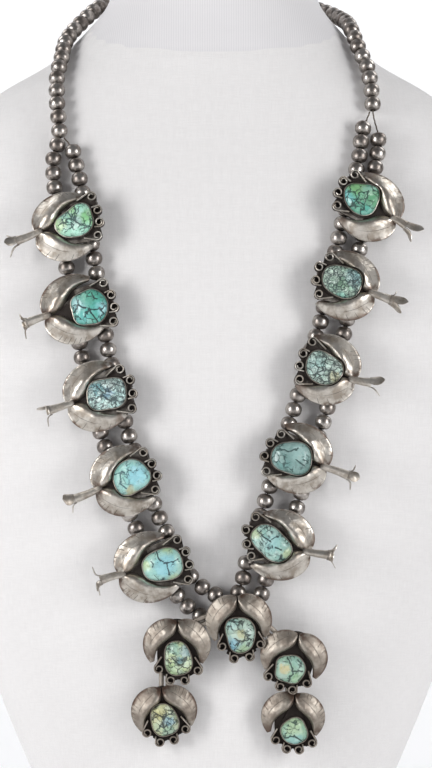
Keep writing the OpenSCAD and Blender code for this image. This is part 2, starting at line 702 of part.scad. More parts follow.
module naja_stone(k) {
    multmatrix(placed(naja_frame)) multmatrix(placed(naja_flower_frame(k)))
        stone(STONE_NAJA[k]);
}

neck_bust();
thread_outer();
thread_inner();
for (side = ["left", "right"]) {
    neck_beads(side);
    strand_outer(side);
    strand_inner(side);
    for (k = BLOSSOMS) {
        blossom(side, k - 1);
        blossom_stone(side, k - 1);
    }
}
naja();
for (k = BLOSSOMS)
    naja_stone(k - 1);
clasp();
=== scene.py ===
# Squash blossom necklace on a linen neck bust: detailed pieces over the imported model.
# Lengths in the settings are millimetres, as in the part; meshes are made in metres.
import math
from collections import namedtuple

import bpy
import numpy as np
from mathutils import Matrix, Vector, noise


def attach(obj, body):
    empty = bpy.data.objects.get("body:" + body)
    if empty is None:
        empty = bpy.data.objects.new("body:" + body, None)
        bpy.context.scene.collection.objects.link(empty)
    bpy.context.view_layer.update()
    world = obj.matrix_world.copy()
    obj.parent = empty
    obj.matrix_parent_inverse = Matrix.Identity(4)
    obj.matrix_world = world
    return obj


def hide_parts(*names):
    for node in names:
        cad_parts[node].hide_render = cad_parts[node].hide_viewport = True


mm = 0.001  # metres in a millimetre
blossomsAside = 5

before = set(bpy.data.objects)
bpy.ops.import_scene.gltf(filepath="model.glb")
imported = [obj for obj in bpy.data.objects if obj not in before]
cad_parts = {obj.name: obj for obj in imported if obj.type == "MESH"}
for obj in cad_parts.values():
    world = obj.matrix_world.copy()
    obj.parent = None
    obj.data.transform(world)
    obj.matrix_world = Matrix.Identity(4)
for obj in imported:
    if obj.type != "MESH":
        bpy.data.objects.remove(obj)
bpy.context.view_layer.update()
print("frame loaded,", len(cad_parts), "nodes")

# the route of the strands, repeated from the part
bustSize = {"height": 455, "halfBreadth": 152, "front": 76, "back": 64, "square": 2.3}
bustRows = [  # height, half breadth, front and back, as shares
    (0.000, 0.480, 0.820, 0.820), (0.080, 0.590, 0.935, 0.880), (0.165, 0.695, 0.985, 0.920),
    (0.265, 0.800, 1.000, 0.955), (0.395, 0.905, 1.000, 0.990), (0.525, 0.975, 0.950, 1.000),
    (0.635, 1.000, 0.860, 0.990), (0.715, 0.945, 0.765, 0.935), (0.760, 0.835, 0.705, 0.885),
    (0.800, 0.690, 0.655, 0.830), (0.830, 0.535, 0.625, 0.785), (0.853, 0.450, 0.610, 0.765),
    (0.878, 0.380, 0.600, 0.760), (0.898, 0.340, 0.600, 0.765), (0.920, 0.329, 0.605, 0.780),
    (1.000, 0.339, 0.625, 0.810)]
beadSize = {"diameter": 8, "length": 6.9, "endRadius": 6, "hole": 1.9, "gap": 0.15}
bustGap, neckGap = 0.4, 1.1
seatGap = 0.7
eyeSize = {"outer": 4.6, "hole": 2.4, "thickness": 1.8, "gap": 0.9, "najaGap": 2.7}

neckLeft = [(-180, 416), (-150, 415), (-122, 411), (-102, 406), (-92, 400), (-85, 394),
            (-74, 387), (-60, 379), (-49, 371.5), (-40, 362), (-33, 349)]
neckRight = [(180, 416), (150, 414), (122, 408), (104, 402), (90, 397), (74, 391.5),
             (62, 384), (51, 374), (42, 365)]
outerLeft = [(-72.5, 338, 0), (-75, 329, 0), (-74.5, 314, 0), (-71.5, 296, 1),
             (-68.5, 276, 0), (-65, 258, 1), (-61, 234, 0), (-56.5, 216, 1),
             (-51.5, 197, 0), (-44, 175, 1), (-36, 155.5, 0), (-26.5, 138.5, 1),
             (-19, 126.5, 0), (-10, 117, 0), (-2, 112.5, 0)]
outerRight = [(74.5, 351, 0), (77, 339, 0), (75.5, 324, 0), (73, 305.5, 1),
              (68, 286, 0), (64.5, 266.5, 1), (60.5, 246.5, 0), (56, 227, 1),
              (51.5, 207.5, 0), (44, 186.5, 1), (38.5, 165.5, 0), (31, 147, 1),
              (25, 134.5, 0), (21.5, 123.5, 0), (15, 114.5, 0)]
innerLeft = [(-70.2, 338, 0), (-66, 331.5, 0), (-62.5, 317, 0), (-59, 300, 1), (-56, 282, 0),
             (-52.5, 262, 1), (-49.5, 241, 0), (-44.5, 219.5, 1), (-39.5, 199, 0),
             (-32.5, 180, 1), (-25, 160, 0), (-16, 143, 1), (-10, 132, 0),
             (-4, 127, 0), (2, 123.5, 0)]
innerRight = [(73, 350.4, 0), (69.5, 341, 0), (68, 328, 0), (63.5, 311.5, 1), (58.5, 292, 0),
              (54, 272, 1), (50, 253, 0), (43.5, 233, 1), (38, 214, 0),
              (31, 192, 1), (24.5, 170.5, 0), (18, 149.5, 1), (14.5, 138, 0),
              (13, 129.5, 0), (10.3, 123.8, 0)]
forkRoom = {"left": (0.2, 4), "right": (7.5, 2.5)}
najaOuter, najaInner = (7, 111), (6.5, 120.5)


def signedPow(v, e):
    return math.copysign(abs(v) ** e, v)


def bustSlope(k, col):
    a, b = max(k - 1, 0), min(k + 1, len(bustRows) - 1)
    return (bustRows[b][col] - bustRows[a][col]) / (bustRows[b][0] - bustRows[a][0])


def bustShare(h, col):
    k = 0
    while k < len(bustRows) - 2 and bustRows[k + 1][0] <= h:
        k += 1
    step = bustRows[k + 1][0] - bustRows[k][0]
    t = (h - bustRows[k][0]) / step
    a, b = bustRows[k][col], bustRows[k + 1][col]
    ma, mb = bustSlope(k, col) * step, bustSlope(k + 1, col) * step
    return (a * (1 + 2 * t) * (1 - t) ** 2 + ma * t * (1 - t) ** 2
            + b * t * t * (3 - 2 * t) + mb * t * t * (t - 1))


def skin(turn, z):
    h = z / bustSize["height"]
    c, s = math.cos(math.radians(turn)), math.sin(math.radians(turn))
    e = 2 / bustSize["square"]
    depth = bustSize["front"] * bustShare(h, 2) if c > 0 else bustSize["back"] * bustShare(h, 3)
    return np.array([bustSize["halfBreadth"] * bustShare(h, 1) * signedPow(s, e),
                     -depth * signedPow(c, e), z])


def unit(v):
    return v / np.linalg.norm(v)


def skinNormal(turn, z):
    return unit(np.cross(skin(turn + 0.5, z) - skin(turn - 0.5, z),
                         skin(turn, z + 0.5) - skin(turn, z - 0.5)))


def turnAt(x, z):
    half = bustSize["halfBreadth"] * bustShare(z / bustSize["height"], 1)
    return math.copysign(math.degrees(math.asin((abs(x) / half) ** (bustSize["square"] / 2))), x)


def above(turn, z, d):
    return skin(turn, z) + skinNormal(turn, z) * d


def fromFront(rows):
    return [(turnAt(r[0], r[1]), r[1], r[2], bustGap) for r in rows]


def fromNeck(rows):
    return [(r[0], r[1], 0, neckGap) for r in rows]


class Strand:  # a smooth path through chosen points, with its running length
    steps = 6

    def __init__(self, route):
        n = len(route) - 1
        rows = [np.array(r, float) for r in route]
        self.points = []
        for k in range(n):
            a, b, c, d = (rows[max(k - 1, 0)], rows[k], rows[min(k + 1, n)], rows[min(k + 2, n)])
            for j in range(self.steps):
                t = j / self.steps
                p = 0.5 * (2 * b + (c - a) * t + (2 * a - 5 * b + 4 * c - d) * t * t
                           + (3 * b - a - 3 * c + d) * t ** 3)
                self.points.append(above(p[0], p[1], beadSize["diameter"] / 2 + p[3]))
        self.points.append(above(rows[n][0], rows[n][1], beadSize["diameter"] / 2 + rows[n][3]))
        self.points = np.array(self.points)
        self.run = np.concatenate([[0], np.cumsum(np.linalg.norm(np.diff(self.points, axis=0), axis=1))])
        self.length = self.run[-1]
        self.eyes = [self.run[k * self.steps] for k, r in enumerate(route) if r[2] == 1]

    def at(self, s):
        k = min(max(int(np.searchsorted(self.run, s, "right")) - 1, 0), len(self.run) - 2)
        t = (s - self.run[k]) / (self.run[k + 1] - self.run[k])
        return self.points[k] + (self.points[k + 1] - self.points[k]) * t

    def along(self, s):
        return unit(self.at(s + 1) - self.at(s - 1))

    def beadsIn(self, start, end):  # packed down towards the end
        pitch = beadSize["length"] + beadSize["gap"]
        half = beadSize["length"] / 2
        back = 1 if start > end else -1
        s, found = end + back * half, []
        while back * (start - s) >= half:
            found.append(s)
            ahead = s + back * pitch
            turned = math.acos(min(1, float(self.along(s) @ self.along(ahead))))
            s = ahead + back * beadSize["endRadius"] / 4 * turned ** 2
        return found

    def beadsFrom(self, start, eyes):
        room = eyeSize["thickness"] / 2 + eyeSize["gap"]
        najaRoom = eyeSize["thickness"] / 2 + eyeSize["najaGap"]
        found = []
        for k, eye in enumerate(eyes):
            first = start if k == 0 else eyes[k - 1]
            way = 1 if eye > first else -1
            found += self.beadsIn(first + way * (0 if k == 0 else room),
                                  eye - way * (najaRoom if k == len(eyes) - 1 else room))
        return found


outerRoute = (fromNeck(neckLeft) + fromFront(outerLeft) + fromFront([najaOuter + (1,)])
              + fromFront(outerRight[::-1]) + fromNeck(neckRight[::-1]))
innerRoute = fromFront(innerLeft) + fromFront([najaInner + (1,)]) + fromFront(innerRight[::-1])
outer, inner = Strand(outerRoute), Strand(innerRoute)
forkLeft = outer.run[len(neckLeft) * Strand.steps]
forkRight = outer.run[(len(outerRoute) - 1 - len(neckRight)) * Strand.steps]


def sideEyes(strand, side):
    return (strand.eyes if side == "left" else strand.eyes[::-1])[:blossomsAside + 1]


def eyePoint(strand, side, k):
    return strand.at(sideEyes(strand, side)[k])


# a blossom's angle seen from the front, its eyes along and across it, its stem's length and droop
BlossomRow = namedtuple("BlossomRow", "angle along across stem droop")
blossomRows = {side: [BlossomRow(*r) for r in rows] for side, rows in {
    "left": [(14.0, 17.4, 2.6, 11.5, 9), (16.0, 19.7, 2.1, 10.5, 3), (17.0, 16.7, 0.7, 10.5, 1),
             (18.5, 15.8, -0.5, 12.5, 4), (15.5, 22.8, 0.9, 10.5, -1.5)],
    "right": [(29.5, 19.1, -2.5, 10.5, 1.5), (18.0, 15.3, -1.6, 12.5, 2), (21.5, 15.7, -0.8, 9.5, -12),
              (19.5, 14.8, -1.4, 13.0, -1), (13.5, 19.3, 0.9, 10.5, -4)]}.items()}
# a stone's middle along and across its flower, its size, its turn and how lumpy its outline is
StoneRow = namedtuple("StoneRow", "along across length width turn lump lumps lumpTurn")
stoneRows = {side: [StoneRow(*r) for r in rows] for side, rows in {
    "left": [(19.2, 0.6, 19.7, 15.2, 18, 0.16, 3, 60), (21.1, -1.6, 17.5, 16.6, 0, 0.06, 5, 0),
             (18.6, -0.6, 19.8, 15.0, -4, 0.08, 4, 30), (17.3, 0.6, 17.8, 15.8, 14, 0.09, 3, 100),
             (20.7, -0.7, 19.4, 15.2, 0, 0.08, 3, 60)],
    "right": [(19.0, -1.1, 17.6, 16.2, 20, 0.15, 3, 0), (15.9, -1.0, 19.6, 15.2, 0, 0.09, 3, 109),
              (15.3, 0.2, 18.2, 15.0, -6, 0.09, 3, 80), (16.3, 0.8, 20.0, 15.8, 10, 0.11, 3, 15),
              (18.0, 0.2, 21.2, 13.2, -28, 0.05, 4, 0)],
    "naja": [(17.4, 0.3, 17.8, 14.0, 4, 0.12, 3, 110), (17.4, 0.6, 16.8, 12.8, 10, 0.08, 3, 75),
             (14.8, -0.4, 16.0, 12.8, 10, 0.08, 3, 75), (16.6, -0.7, 13.6, 14.0, 0, 0.07, 5, 25),
             (17.0, 1.0, 12.8, 12.2, 30, 0.08, 3, 50)]}.items()}
# a pendant's place and turn on the naja, its rise and its share of a leaf's length and breadth
NajaRow = namedtuple("NajaRow", "x z turn rise long broad")
najaFlowers = [NajaRow(*r) for r in (
    (4.3, 38.8, 4, 0.1, 0.81, 0.93), (-23.5, 27.2, -1, 0.05, 0.80, 0.95),
    (-31.0, -5.0, 7, 0.0, 0.78, 0.93), (32.8, 21.0, -11, 0.1, 0.78, 0.95),
    (31.2, -8.0, -4, 0.05, 0.76, 0.90))]
najaSize = {"radius": 31, "wirePitch": 3.1, "wire": 2.3, "leg": 16, "middle": (6.5, 86),
            "solder": 0.25}
leafSize = {"length": 25, "breadth": 16.4, "height": 4.4, "rim": 0.7}
plateThick = 0.9


class Place:  # a flower's frame: along, across, outward and origin
    def __init__(self, u, w, origin):
        self.u, self.v, self.w, self.origin = u, np.cross(w, u), w, origin

    def world(self, points):
        p = np.asarray(points, float)
        return self.origin + p[:, :1] * self.u + p[:, 1:2] * self.v + p[:, 2:3] * self.w

    def local(self, point):
        d = point - self.origin
        return np.array([d @ self.u, d @ self.v, d @ self.w])


def seenAs(d, w):  # direction in a plane square to w that shows as d from the front
    return unit(np.array([d[0], -(d[0] * w[0] + d[2] * w[2]) / w[1], d[2]]))


def blossomPlace(row, side, k):
    mid = (eyePoint(outer, side, k) + eyePoint(inner, side, k)) / 2
    w = skinNormal(turnAt(mid[0], mid[2]), mid[2])
    way = 1 if side == "left" else -1
    a = math.radians(row.angle)
    u = seenAs((way * math.cos(a), 0, math.sin(a)), w)
    v = np.cross(w, u)
    seat = beadSize["diameter"] / 2 + seatGap
    return Place(u, w, mid + w * seat - u * row.along - v * row.across)


def najaPlace():
    seat = beadSize["diameter"] / 2 + seatGap
    top = (eyePoint(outer, "left", blossomsAside) + eyePoint(inner, "left", blossomsAside)) / 2
    midX, midZ = najaSize["middle"]
    lowZ = midZ - najaSize["leg"] - leafSize["length"]
    low = skin(turnAt(midX, lowZ), lowZ)
    lean = math.atan((low[1] - bustGap - (top[1] - seat)) / (top[2] - lowZ))
    w = np.array([0, -math.cos(lean), -math.sin(lean)])
    return Place(np.array([1.0, 0, 0]), w,
                 np.array([midX, top[1] - seat + (top[2] - midZ) * math.tan(lean), midZ]))


def najaFlowerPlace(naja, r):
    a = math.radians(r.turn)
    u = naja.u * math.sin(a) - naja.v * math.cos(a)
    rise = najaSize["wire"] - najaSize["solder"] + r.rise
    return Place(u, naja.w, naja.world([[r.x, r.z, rise]])[0])


print("strands laid,", round(outer.length), "and", round(inner.length), "mm")


def gridFaces(rows, cols, start=0, wrap=False):
    wide = cols if wrap else cols + 1
    return [(start + i * wide + j, start + i * wide + (j + 1) % wide,
             start + (i + 1) * wide + (j + 1) % wide, start + (i + 1) * wide + j)
            for i in range(rows) for j in range(cols)]


def fanFaces(n, start, middle, under=False):  # from a ring of n points to one in the middle
    return [(start + (j + 1) % n, start + j, middle) if under else
            (start + j, start + (j + 1) % n, middle) for j in range(n)]


def anglesRound(n):
    return [2 * math.pi * k / n for k in range(n)]


def waysAlong(path):
    ways = np.gradient(path, axis=0)
    return ways / np.linalg.norm(ways, axis=1)[:, None]


def inScene(name, data):
    item = bpy.data.objects.new(name, data)
    bpy.context.scene.collection.objects.link(item)
    return item


class Heap:  # gathers shapes into one mesh: points in mm, and each point's darkness: oxide plus painted shade in recesses, or a stone's crack lines
    def __init__(self):
        self.points, self.soot, self.place, self.faces = [], [], [], []
        self.count = 0

    def add(self, points, faces, soot=0.0, place=None, flip=False):
        points = np.asarray(points, float)
        n = len(points)
        self.points.append(points)
        self.soot.append(np.broadcast_to(np.asarray(soot, float), (n,)).copy())
        self.place.append(np.zeros((n, 3)) if place is None else np.asarray(place, float))
        base = self.count
        for f in faces:
            g = tuple(base + i for i in f)
            self.faces.append(g[::-1] if flip else g)
        self.count += n

    def build(self, name, material, place=None, sharp=38):
        points = np.vstack(self.points)
        if place is not None:
            points = place.world(points)
        mesh = bpy.data.meshes.new(name)
        mesh.from_pydata((points * mm).tolist(), [], self.faces)
        mesh.materials.append(material)
        soot = mesh.attributes.new("soot", "FLOAT", "POINT")
        soot.data.foreach_set("value", np.concatenate(self.soot))
        spots = mesh.attributes.new("place", "FLOAT_VECTOR", "POINT")
        spots.data.foreach_set("vector", np.vstack(self.place).ravel())
        mesh.shade_smooth()
        mesh.set_sharp_from_angle(angle=math.radians(sharp))
        mesh.validate()
        return inScene(name, mesh)


def closedTube(rings):
    # skin through rings of points that turn anticlockwise about the way they advance
    rows, sides = len(rings), len(rings[0])
    points = [p for ring in rings for p in ring]
    faces = gridFaces(rows - 1, sides, 0, True)
    faces += [tuple(range(sides))[::-1], tuple((rows - 1) * sides + j for j in range(sides))]
    return np.array(points), faces


def bezier(p, t):
    p = np.array(p)
    return (p[0] * (1 - t) ** 3 + 3 * p[1] * t * (1 - t) ** 2
            + 3 * p[2] * t * t * (1 - t) + p[3] * t ** 3)


def rough3(p, scale, seed=0.0):
    return noise.noise(Vector((p[0] * scale + seed, p[1] * scale - seed, p[2] * scale + seed * 0.5)))


leafOuter = [(-0.02, 0.02), (-0.25, 0.62), (0.42, 1.42), (1.00, 0.78)]
leafInner = [(0.03, 0.02), (0.50, -0.06), (0.35, 0.62), (0.95, 0.66)]
leafLook = {"rows": 44, "columns": 26, "flange": 0.04, "uneven": 0.5, "lip": 0.8, "lean": 2.1,
            "full": 0.52, "sootDepth": 1.1}


def clearOfStone(row, x, y, room):
    dx, dy = x - row.along, y - row.across
    r = math.hypot(dx, dy)
    least = stoneReach(row, math.degrees(math.atan2(dy, dx))) + room
    return (x, y) if r >= least else (row.along + dx * least / r, row.across + dy * least / r)


def addLeaf(heap, row, share, side, seed):
    # domed leaf with a flat rim outside and a lip inside, on the +v or -v side of the flower
    rows, cols = leafLook["rows"], leafLook["columns"]
    foot = plateThick * 0.4
    length, breadth = leafSize["length"] * share[0], leafSize["breadth"] * share[1]
    top, soot, place = [], [], []
    for i in range(rows + 1):
        t = i / rows
        a, b = bezier(leafOuter, t), bezier(leafInner, t)
        swell = math.sin(math.pi * (t * 0.94 + 0.05) ** 0.85) ** 0.7
        for j in range(cols + 1):
            q = (1 - math.cos(math.pi * j / cols)) / 2
            p = a + (b - a) * q
            inside = min(max((q - leafLook["flange"]) / (1 - leafLook["flange"]), 0), 1)
            dome = max(math.sin(math.pi * inside ** leafLook["lean"]), 0) ** leafLook["full"]
            z = leafSize["height"] * swell * dome
            z += leafLook["uneven"] * dome * (rough3((p[0] * 3, p[1] * 3, side), 1.1, seed)
                                              + 0.35 * rough3((p[0] * 3, p[1] * 3, side), 3.2, seed))
            room = leafLook["lip"] * (1.25 - 0.25 * q)
            x, y = clearOfStone(row, p[0] * length, side * p[1] * breadth, room)
            top.append((x, y, foot + leafSize["rim"] + z))
            # oxide plus painted shade: darker where the dome is low, most on the inner side by the stone
            low = 1 - min(z / leafLook["sootDepth"], 1)
            soot.append(low if q > 0.5 else 0.25 * low)
            place.append((t, q, seed % 7))
    n = len(top)
    low, lowOxideAndShade, lowPlace = [], [], []
    for i in range(rows + 1):
        for edge, q in ((leafOuter, 0.0), (leafInner, 1.0)):
            p = bezier(edge, i / rows)
            x, y = clearOfStone(row, p[0] * length, side * p[1] * breadth, leafLook["lip"])
            low.append((x, y, foot))
            # painted shade along the foot of the leaf's edges, darker on the inner side by the stone
            lowOxideAndShade.append(1.0 if q else 0.6)
            lowPlace.append((i / rows, q, seed % 7))
    w = cols + 1
    faces = [f[::-1] for f in gridFaces(rows, cols)]
    faces += gridFaces(rows, 1, n)
    for i in range(rows):
        faces.append((i * w, (i + 1) * w, n + 2 * i + 2, n + 2 * i)[::-1])
        faces.append((i * w + cols, n + 2 * i + 1, n + 2 * i + 3, (i + 1) * w + cols)[::-1])
    faces.append(tuple(range(w))[::-1] + (n, n + 1))
    faces.append(tuple(rows * w + j for j in range(w)) + (n + 2 * rows + 1, n + 2 * rows))
    heap.add(top + low, faces, soot + lowOxideAndShade, place + lowPlace, flip=side > 0)


def stoneReach(row, degrees):
    b = math.radians(degrees - row.turn)
    e = 2.5  # 2 would be an ellipse
    base = 1 / ((abs(math.cos(b)) / (row.length / 2)) ** e
                + (abs(math.sin(b)) / (row.width / 2)) ** e) ** (1 / e)
    return base * (1 + row.lump * (math.cos(math.radians(row.lumps * (degrees - row.lumpTurn))) - 1) / 2)


def spotBy(row, reach, degrees):
    a = math.radians(degrees)
    return row.along + reach * math.cos(a), row.across + reach * math.sin(a)


bezelLook = {"gap": 0.12, "wall": 0.34, "height": 2.1, "lean": 0.26, "wave": 0.2, "sides": 96}


def addBezel(heap, row, seed):
    # thin wall pressed in over the stone, its top a little wavy
    n = bezelLook["sides"]
    rings = []
    for k in range(n):
        a = 360 * k / n
        c, s = math.cos(math.radians(a)), math.sin(math.radians(a))
        r = stoneReach(row, a) + bezelLook["gap"]
        wave = bezelLook["wave"] * rough3((c * 2.2, s * 2.2, 0), 1, seed)
        high = plateThick + bezelLook["height"] + wave
        lean, wall = bezelLook["lean"], bezelLook["wall"]
        section = [(r + wall, plateThick * 0.7), (r + wall, high - 0.9),
                   (r + wall - lean * 0.5, high - 0.25), (r + wall - lean, high),
                   (r - lean + 0.12, high + 0.04), (r - lean * 0.9, high - 0.16),
                   (r, high - 0.8), (r, plateThick * 0.7)]
        rings.append([(row.along + q * c, row.across + q * s, z) for q, z in section])
    sides = len(rings[0])
    points = [p for ring in rings for p in ring]
    faces = [(i * sides + j, ((i + 1) % n) * sides + j, ((i + 1) % n) * sides + (j + 1) % sides,
              i * sides + (j + 1) % sides) for i in range(n) for j in range(sides)]
    # oxide plus painted shade at the foot and inside of the wall, the rim painted lighter
    soot = [1.2, 0.95, 0.5, 0.15, 0.2, 0.7, 1.0, 1.2] * n
    heap.add(points, faces, soot)


def hullOf(points):
    pts = sorted(set((round(x, 4), round(y, 4)) for x, y in points))

    def half(run):
        chain = []
        for p in run:
            while len(chain) > 1 and ((chain[-1][0] - chain[-2][0]) * (p[1] - chain[-2][1])
                                      - (chain[-1][1] - chain[-2][1]) * (p[0] - chain[-2][0])) <= 0:
                chain.pop()
            chain.append(p)
        return chain[:-1]
    return half(pts) + half(pts[::-1])


def addSlab(heap, outline, low, high, soot, bevel=0.12):
    # flat piece with a small bevel round its top; outline anticlockwise
    o = np.array(outline, float)
    ahead, behind = np.roll(o, -1, 0), np.roll(o, 1, 0)
    d = ahead - behind
    n = np.stack([-d[:, 1], d[:, 0]], 1) / np.maximum(np.linalg.norm(d, axis=1)[:, None], 1e-6)
    inset = o + n * bevel
    rings = [[(x, y, low) for x, y in o], [(x, y, high - bevel) for x, y in o],
             [(x, y, high) for x, y in inset]]
    m = len(o)
    middle = o.mean(0)
    points = [p for r in rings for p in r] + [(middle[0], middle[1], high), (middle[0], middle[1], low)]
    faces = gridFaces(2, m, 0, True)
    faces += fanFaces(m, 2 * m, 3 * m) + fanFaces(m, 0, 3 * m + 1, True)
    # oxide plus painted shade, kept lighter along the bevelled top edge than on the sides and the middle
    # of the top
    heap.add(points, faces, [soot] * m + [soot * 0.7] * m + [soot * 0.45] * m + [soot] * 2)


plateLook = {"discMiddle": 0.46, "discRadius": 0.66, "overhang": 16, "rim": 0.5, "rise": 0.55}


def addPlates(heap, row, share, scrolls, fanRoot, fanOxideAndShade, dropPaintedShadow):
    # back plate under the leaves, its scalloped fan, and the teardrop plate that carries the stone
    length, breadth = leafSize["length"] * share[0], leafSize["breadth"] * share[1]
    disc = [(length * plateLook["discMiddle"] + breadth * plateLook["discRadius"] * math.cos(a),
             breadth * plateLook["discRadius"] * math.sin(a)) for a in anglesRound(48)]
    # the back plate is painted dark: oxide plus painted shade under the leaves
    addSlab(heap, disc, 0.02, plateThick - 0.02, 2.0)
    widest = scrolls[0][0] + plateLook["overhang"]
    fan = [(row.along - row.length * 0.3, row.across - row.width / 2 - fanRoot)]
    for k in range(61):
        a = widest * (k / 30 - 1)
        near = min(scrolls, key=lambda s: abs(s[0] - a))
        far = stoneReach(row, near[0]) + bezelLook["gap"] + scrollLook["ring"] + near[1]
        off = math.radians(a - near[0]) * far
        reach = far + math.sqrt(max((scrollLook["ring"] * 0.92) ** 2 - off ** 2, 0)) * 0.95
        reach = max(reach, far - 0.4)
        fan.append(spotBy(row, reach, a))
    fan.append((row.along - row.length * 0.3, row.across + row.width / 2 + fanRoot))
    # the fan is painted dark: oxide plus painted shade between the scrolls
    addSlab(heap, fan, 0.0, plateThick, fanOxideAndShade)
    drop = [(2.2 * share[0], -0.25), (2.2 * share[0], 0.25)]
    for k in range(60):
        a = 6 * k
        r = stoneReach(row, a) + bezelLook["gap"] + bezelLook["wall"] + plateLook["rim"]
        drop.append(spotBy(row, r, a))
    # the teardrop plate is painted dark as the shadow the leaves cast on it
    addSlab(heap, hullOf(drop), plateThick * 0.5, plateThick + plateLook["rise"], dropPaintedShadow, 0.2)


scrollLook = {"ring": 2.5, "ribbon": 0.6, "height": 2.1, "turns": 1.2, "close": 0.5, "root": 1.55,
              "clear": 0.395, "legPoints": 9, "curlPoints": 44, "bevel": 0.14}


def addScroll(heap, row, degrees, off, seed):
    # ribbon on edge: a straight leg from the bezel, then a curl towards the middle of the flower
    ring, thick = scrollLook["ring"], scrollLook["ribbon"]
    middle = np.array(spotBy(row, stoneReach(row, degrees) + scrollLook["clear"] + ring + off, degrees))
    rootAt = degrees * scrollLook["root"]
    foot = np.array(spotBy(row, stoneReach(row, rootAt) + scrollLook["clear"], rootAt))
    way = unit(middle - foot)
    side = np.array([-way[1], way[0]]) * math.copysign(1, degrees)
    start = ring - thick / 2
    leg = np.linspace(0, 0.97, scrollLook["legPoints"])
    path = [foot + side * start * (0.55 + 0.45 * t) + (middle - foot) * t for t in leg]
    turns = scrollLook["turns"] + 0.12 * math.sin(seed * 2.7)
    for t in np.linspace(0, 1, scrollLook["curlPoints"]):
        angle = 2 * math.pi * turns * t
        radius = start * (1 - (1 - scrollLook["close"]) * t ** 0.9)
        path.append(middle + radius * (side * math.cos(angle) + way * math.sin(angle)))
    path = np.array(path)
    tangent = waysAlong(path)
    normal = np.stack([-tangent[:, 1], tangent[:, 0]], 1)
    low, high, bevel = plateThick * 0.75, plateThick + scrollLook["height"], scrollLook["bevel"]
    rings = []
    for k, (p, nrm) in enumerate(zip(path, normal)):
        taper = 1 if k < len(path) - 6 else 0.75 + 0.25 * (len(path) - 1 - k) / 5
        h = thick / 2 * taper
        lift = high + 0.12 * math.sin(k * 0.21 + seed)
        section = [(h, low), (h, lift - bevel), (h - bevel, lift),
                   (-h + bevel, lift), (-h, lift - bevel), (-h, low)]
        rings.append([(p[0] + nrm[0] * q, p[1] + nrm[1] * q, z) for q, z in section])
    points, faces = closedTube(rings)
    # painted shade: the sides darker towards the plate and the top edge bright, darker still along the
    # curl
    shade = []
    for k in range(len(path)):
        deep = 0.35 if k < scrollLook["legPoints"] else 0.65
        shade += [1.0, 0.25 + deep * 0.5, 0.0, 0.0, 0.25 + deep * 0.5, 1.0]
    heap.add(points, faces, shade)


stemLook = {"narrow": 1.55, "wide": 2.3, "sides": 30, "rows": 16, "sheet": 0.32, "groove": 0.12,
            "mouth": 2.4, "curl": 2.4, "petalRows": 14, "petalColumns": 10}
petalRows = {  # how far the tube is split, then each petal's clock angle, bend, length and breadth
    "left": [(0.0, [(95, 40, 5.0, 3.2), (8, 26, 6.2, 4.6), (262, 44, 7.6, 3.2)]),
             (0.0, [(62, 70, 4.4, 4.2), (330, 78, 4.4, 4.6), (256, 76, 6.8, 2.8)]),
             (0.0, [(112, 6, 6.6, 3.2), (5, 82, 3.4, 4.8), (262, 76, 6.8, 2.8)]),
             (0.0, [(18, 46, 6.2, 6.2), (262, 60, 5.6, 3.4), (140, 20, 4.6, 3.0)]),
             (0.0, [(95, 80, 6.4, 3.4), (315, 74, 5.6, 4.4), (255, 84, 6.8, 2.6)])],
    "right": [(3.6, [(25, 20, 8.6, 4.6), (285, 46, 7.6, 3.8), (130, 26, 4.4, 3.0)]),
              (3.0, [(20, 14, 8.6, 4.4), (300, 36, 8.0, 4.0), (105, 74, 4.4, 3.4)]),
              (0.5, [(35, 16, 6.8, 5.2), (265, 42, 7.2, 2.6), (150, 34, 5.0, 3.2)]),
              (0.5, [(5, 26, 5.8, 5.0), (270, 70, 5.8, 3.2), (100, 80, 5.0, 3.2)]),
              (0.0, [(72, 60, 5.6, 3.8), (350, 72, 4.6, 4.8), (262, 50, 6.4, 2.6)])]}


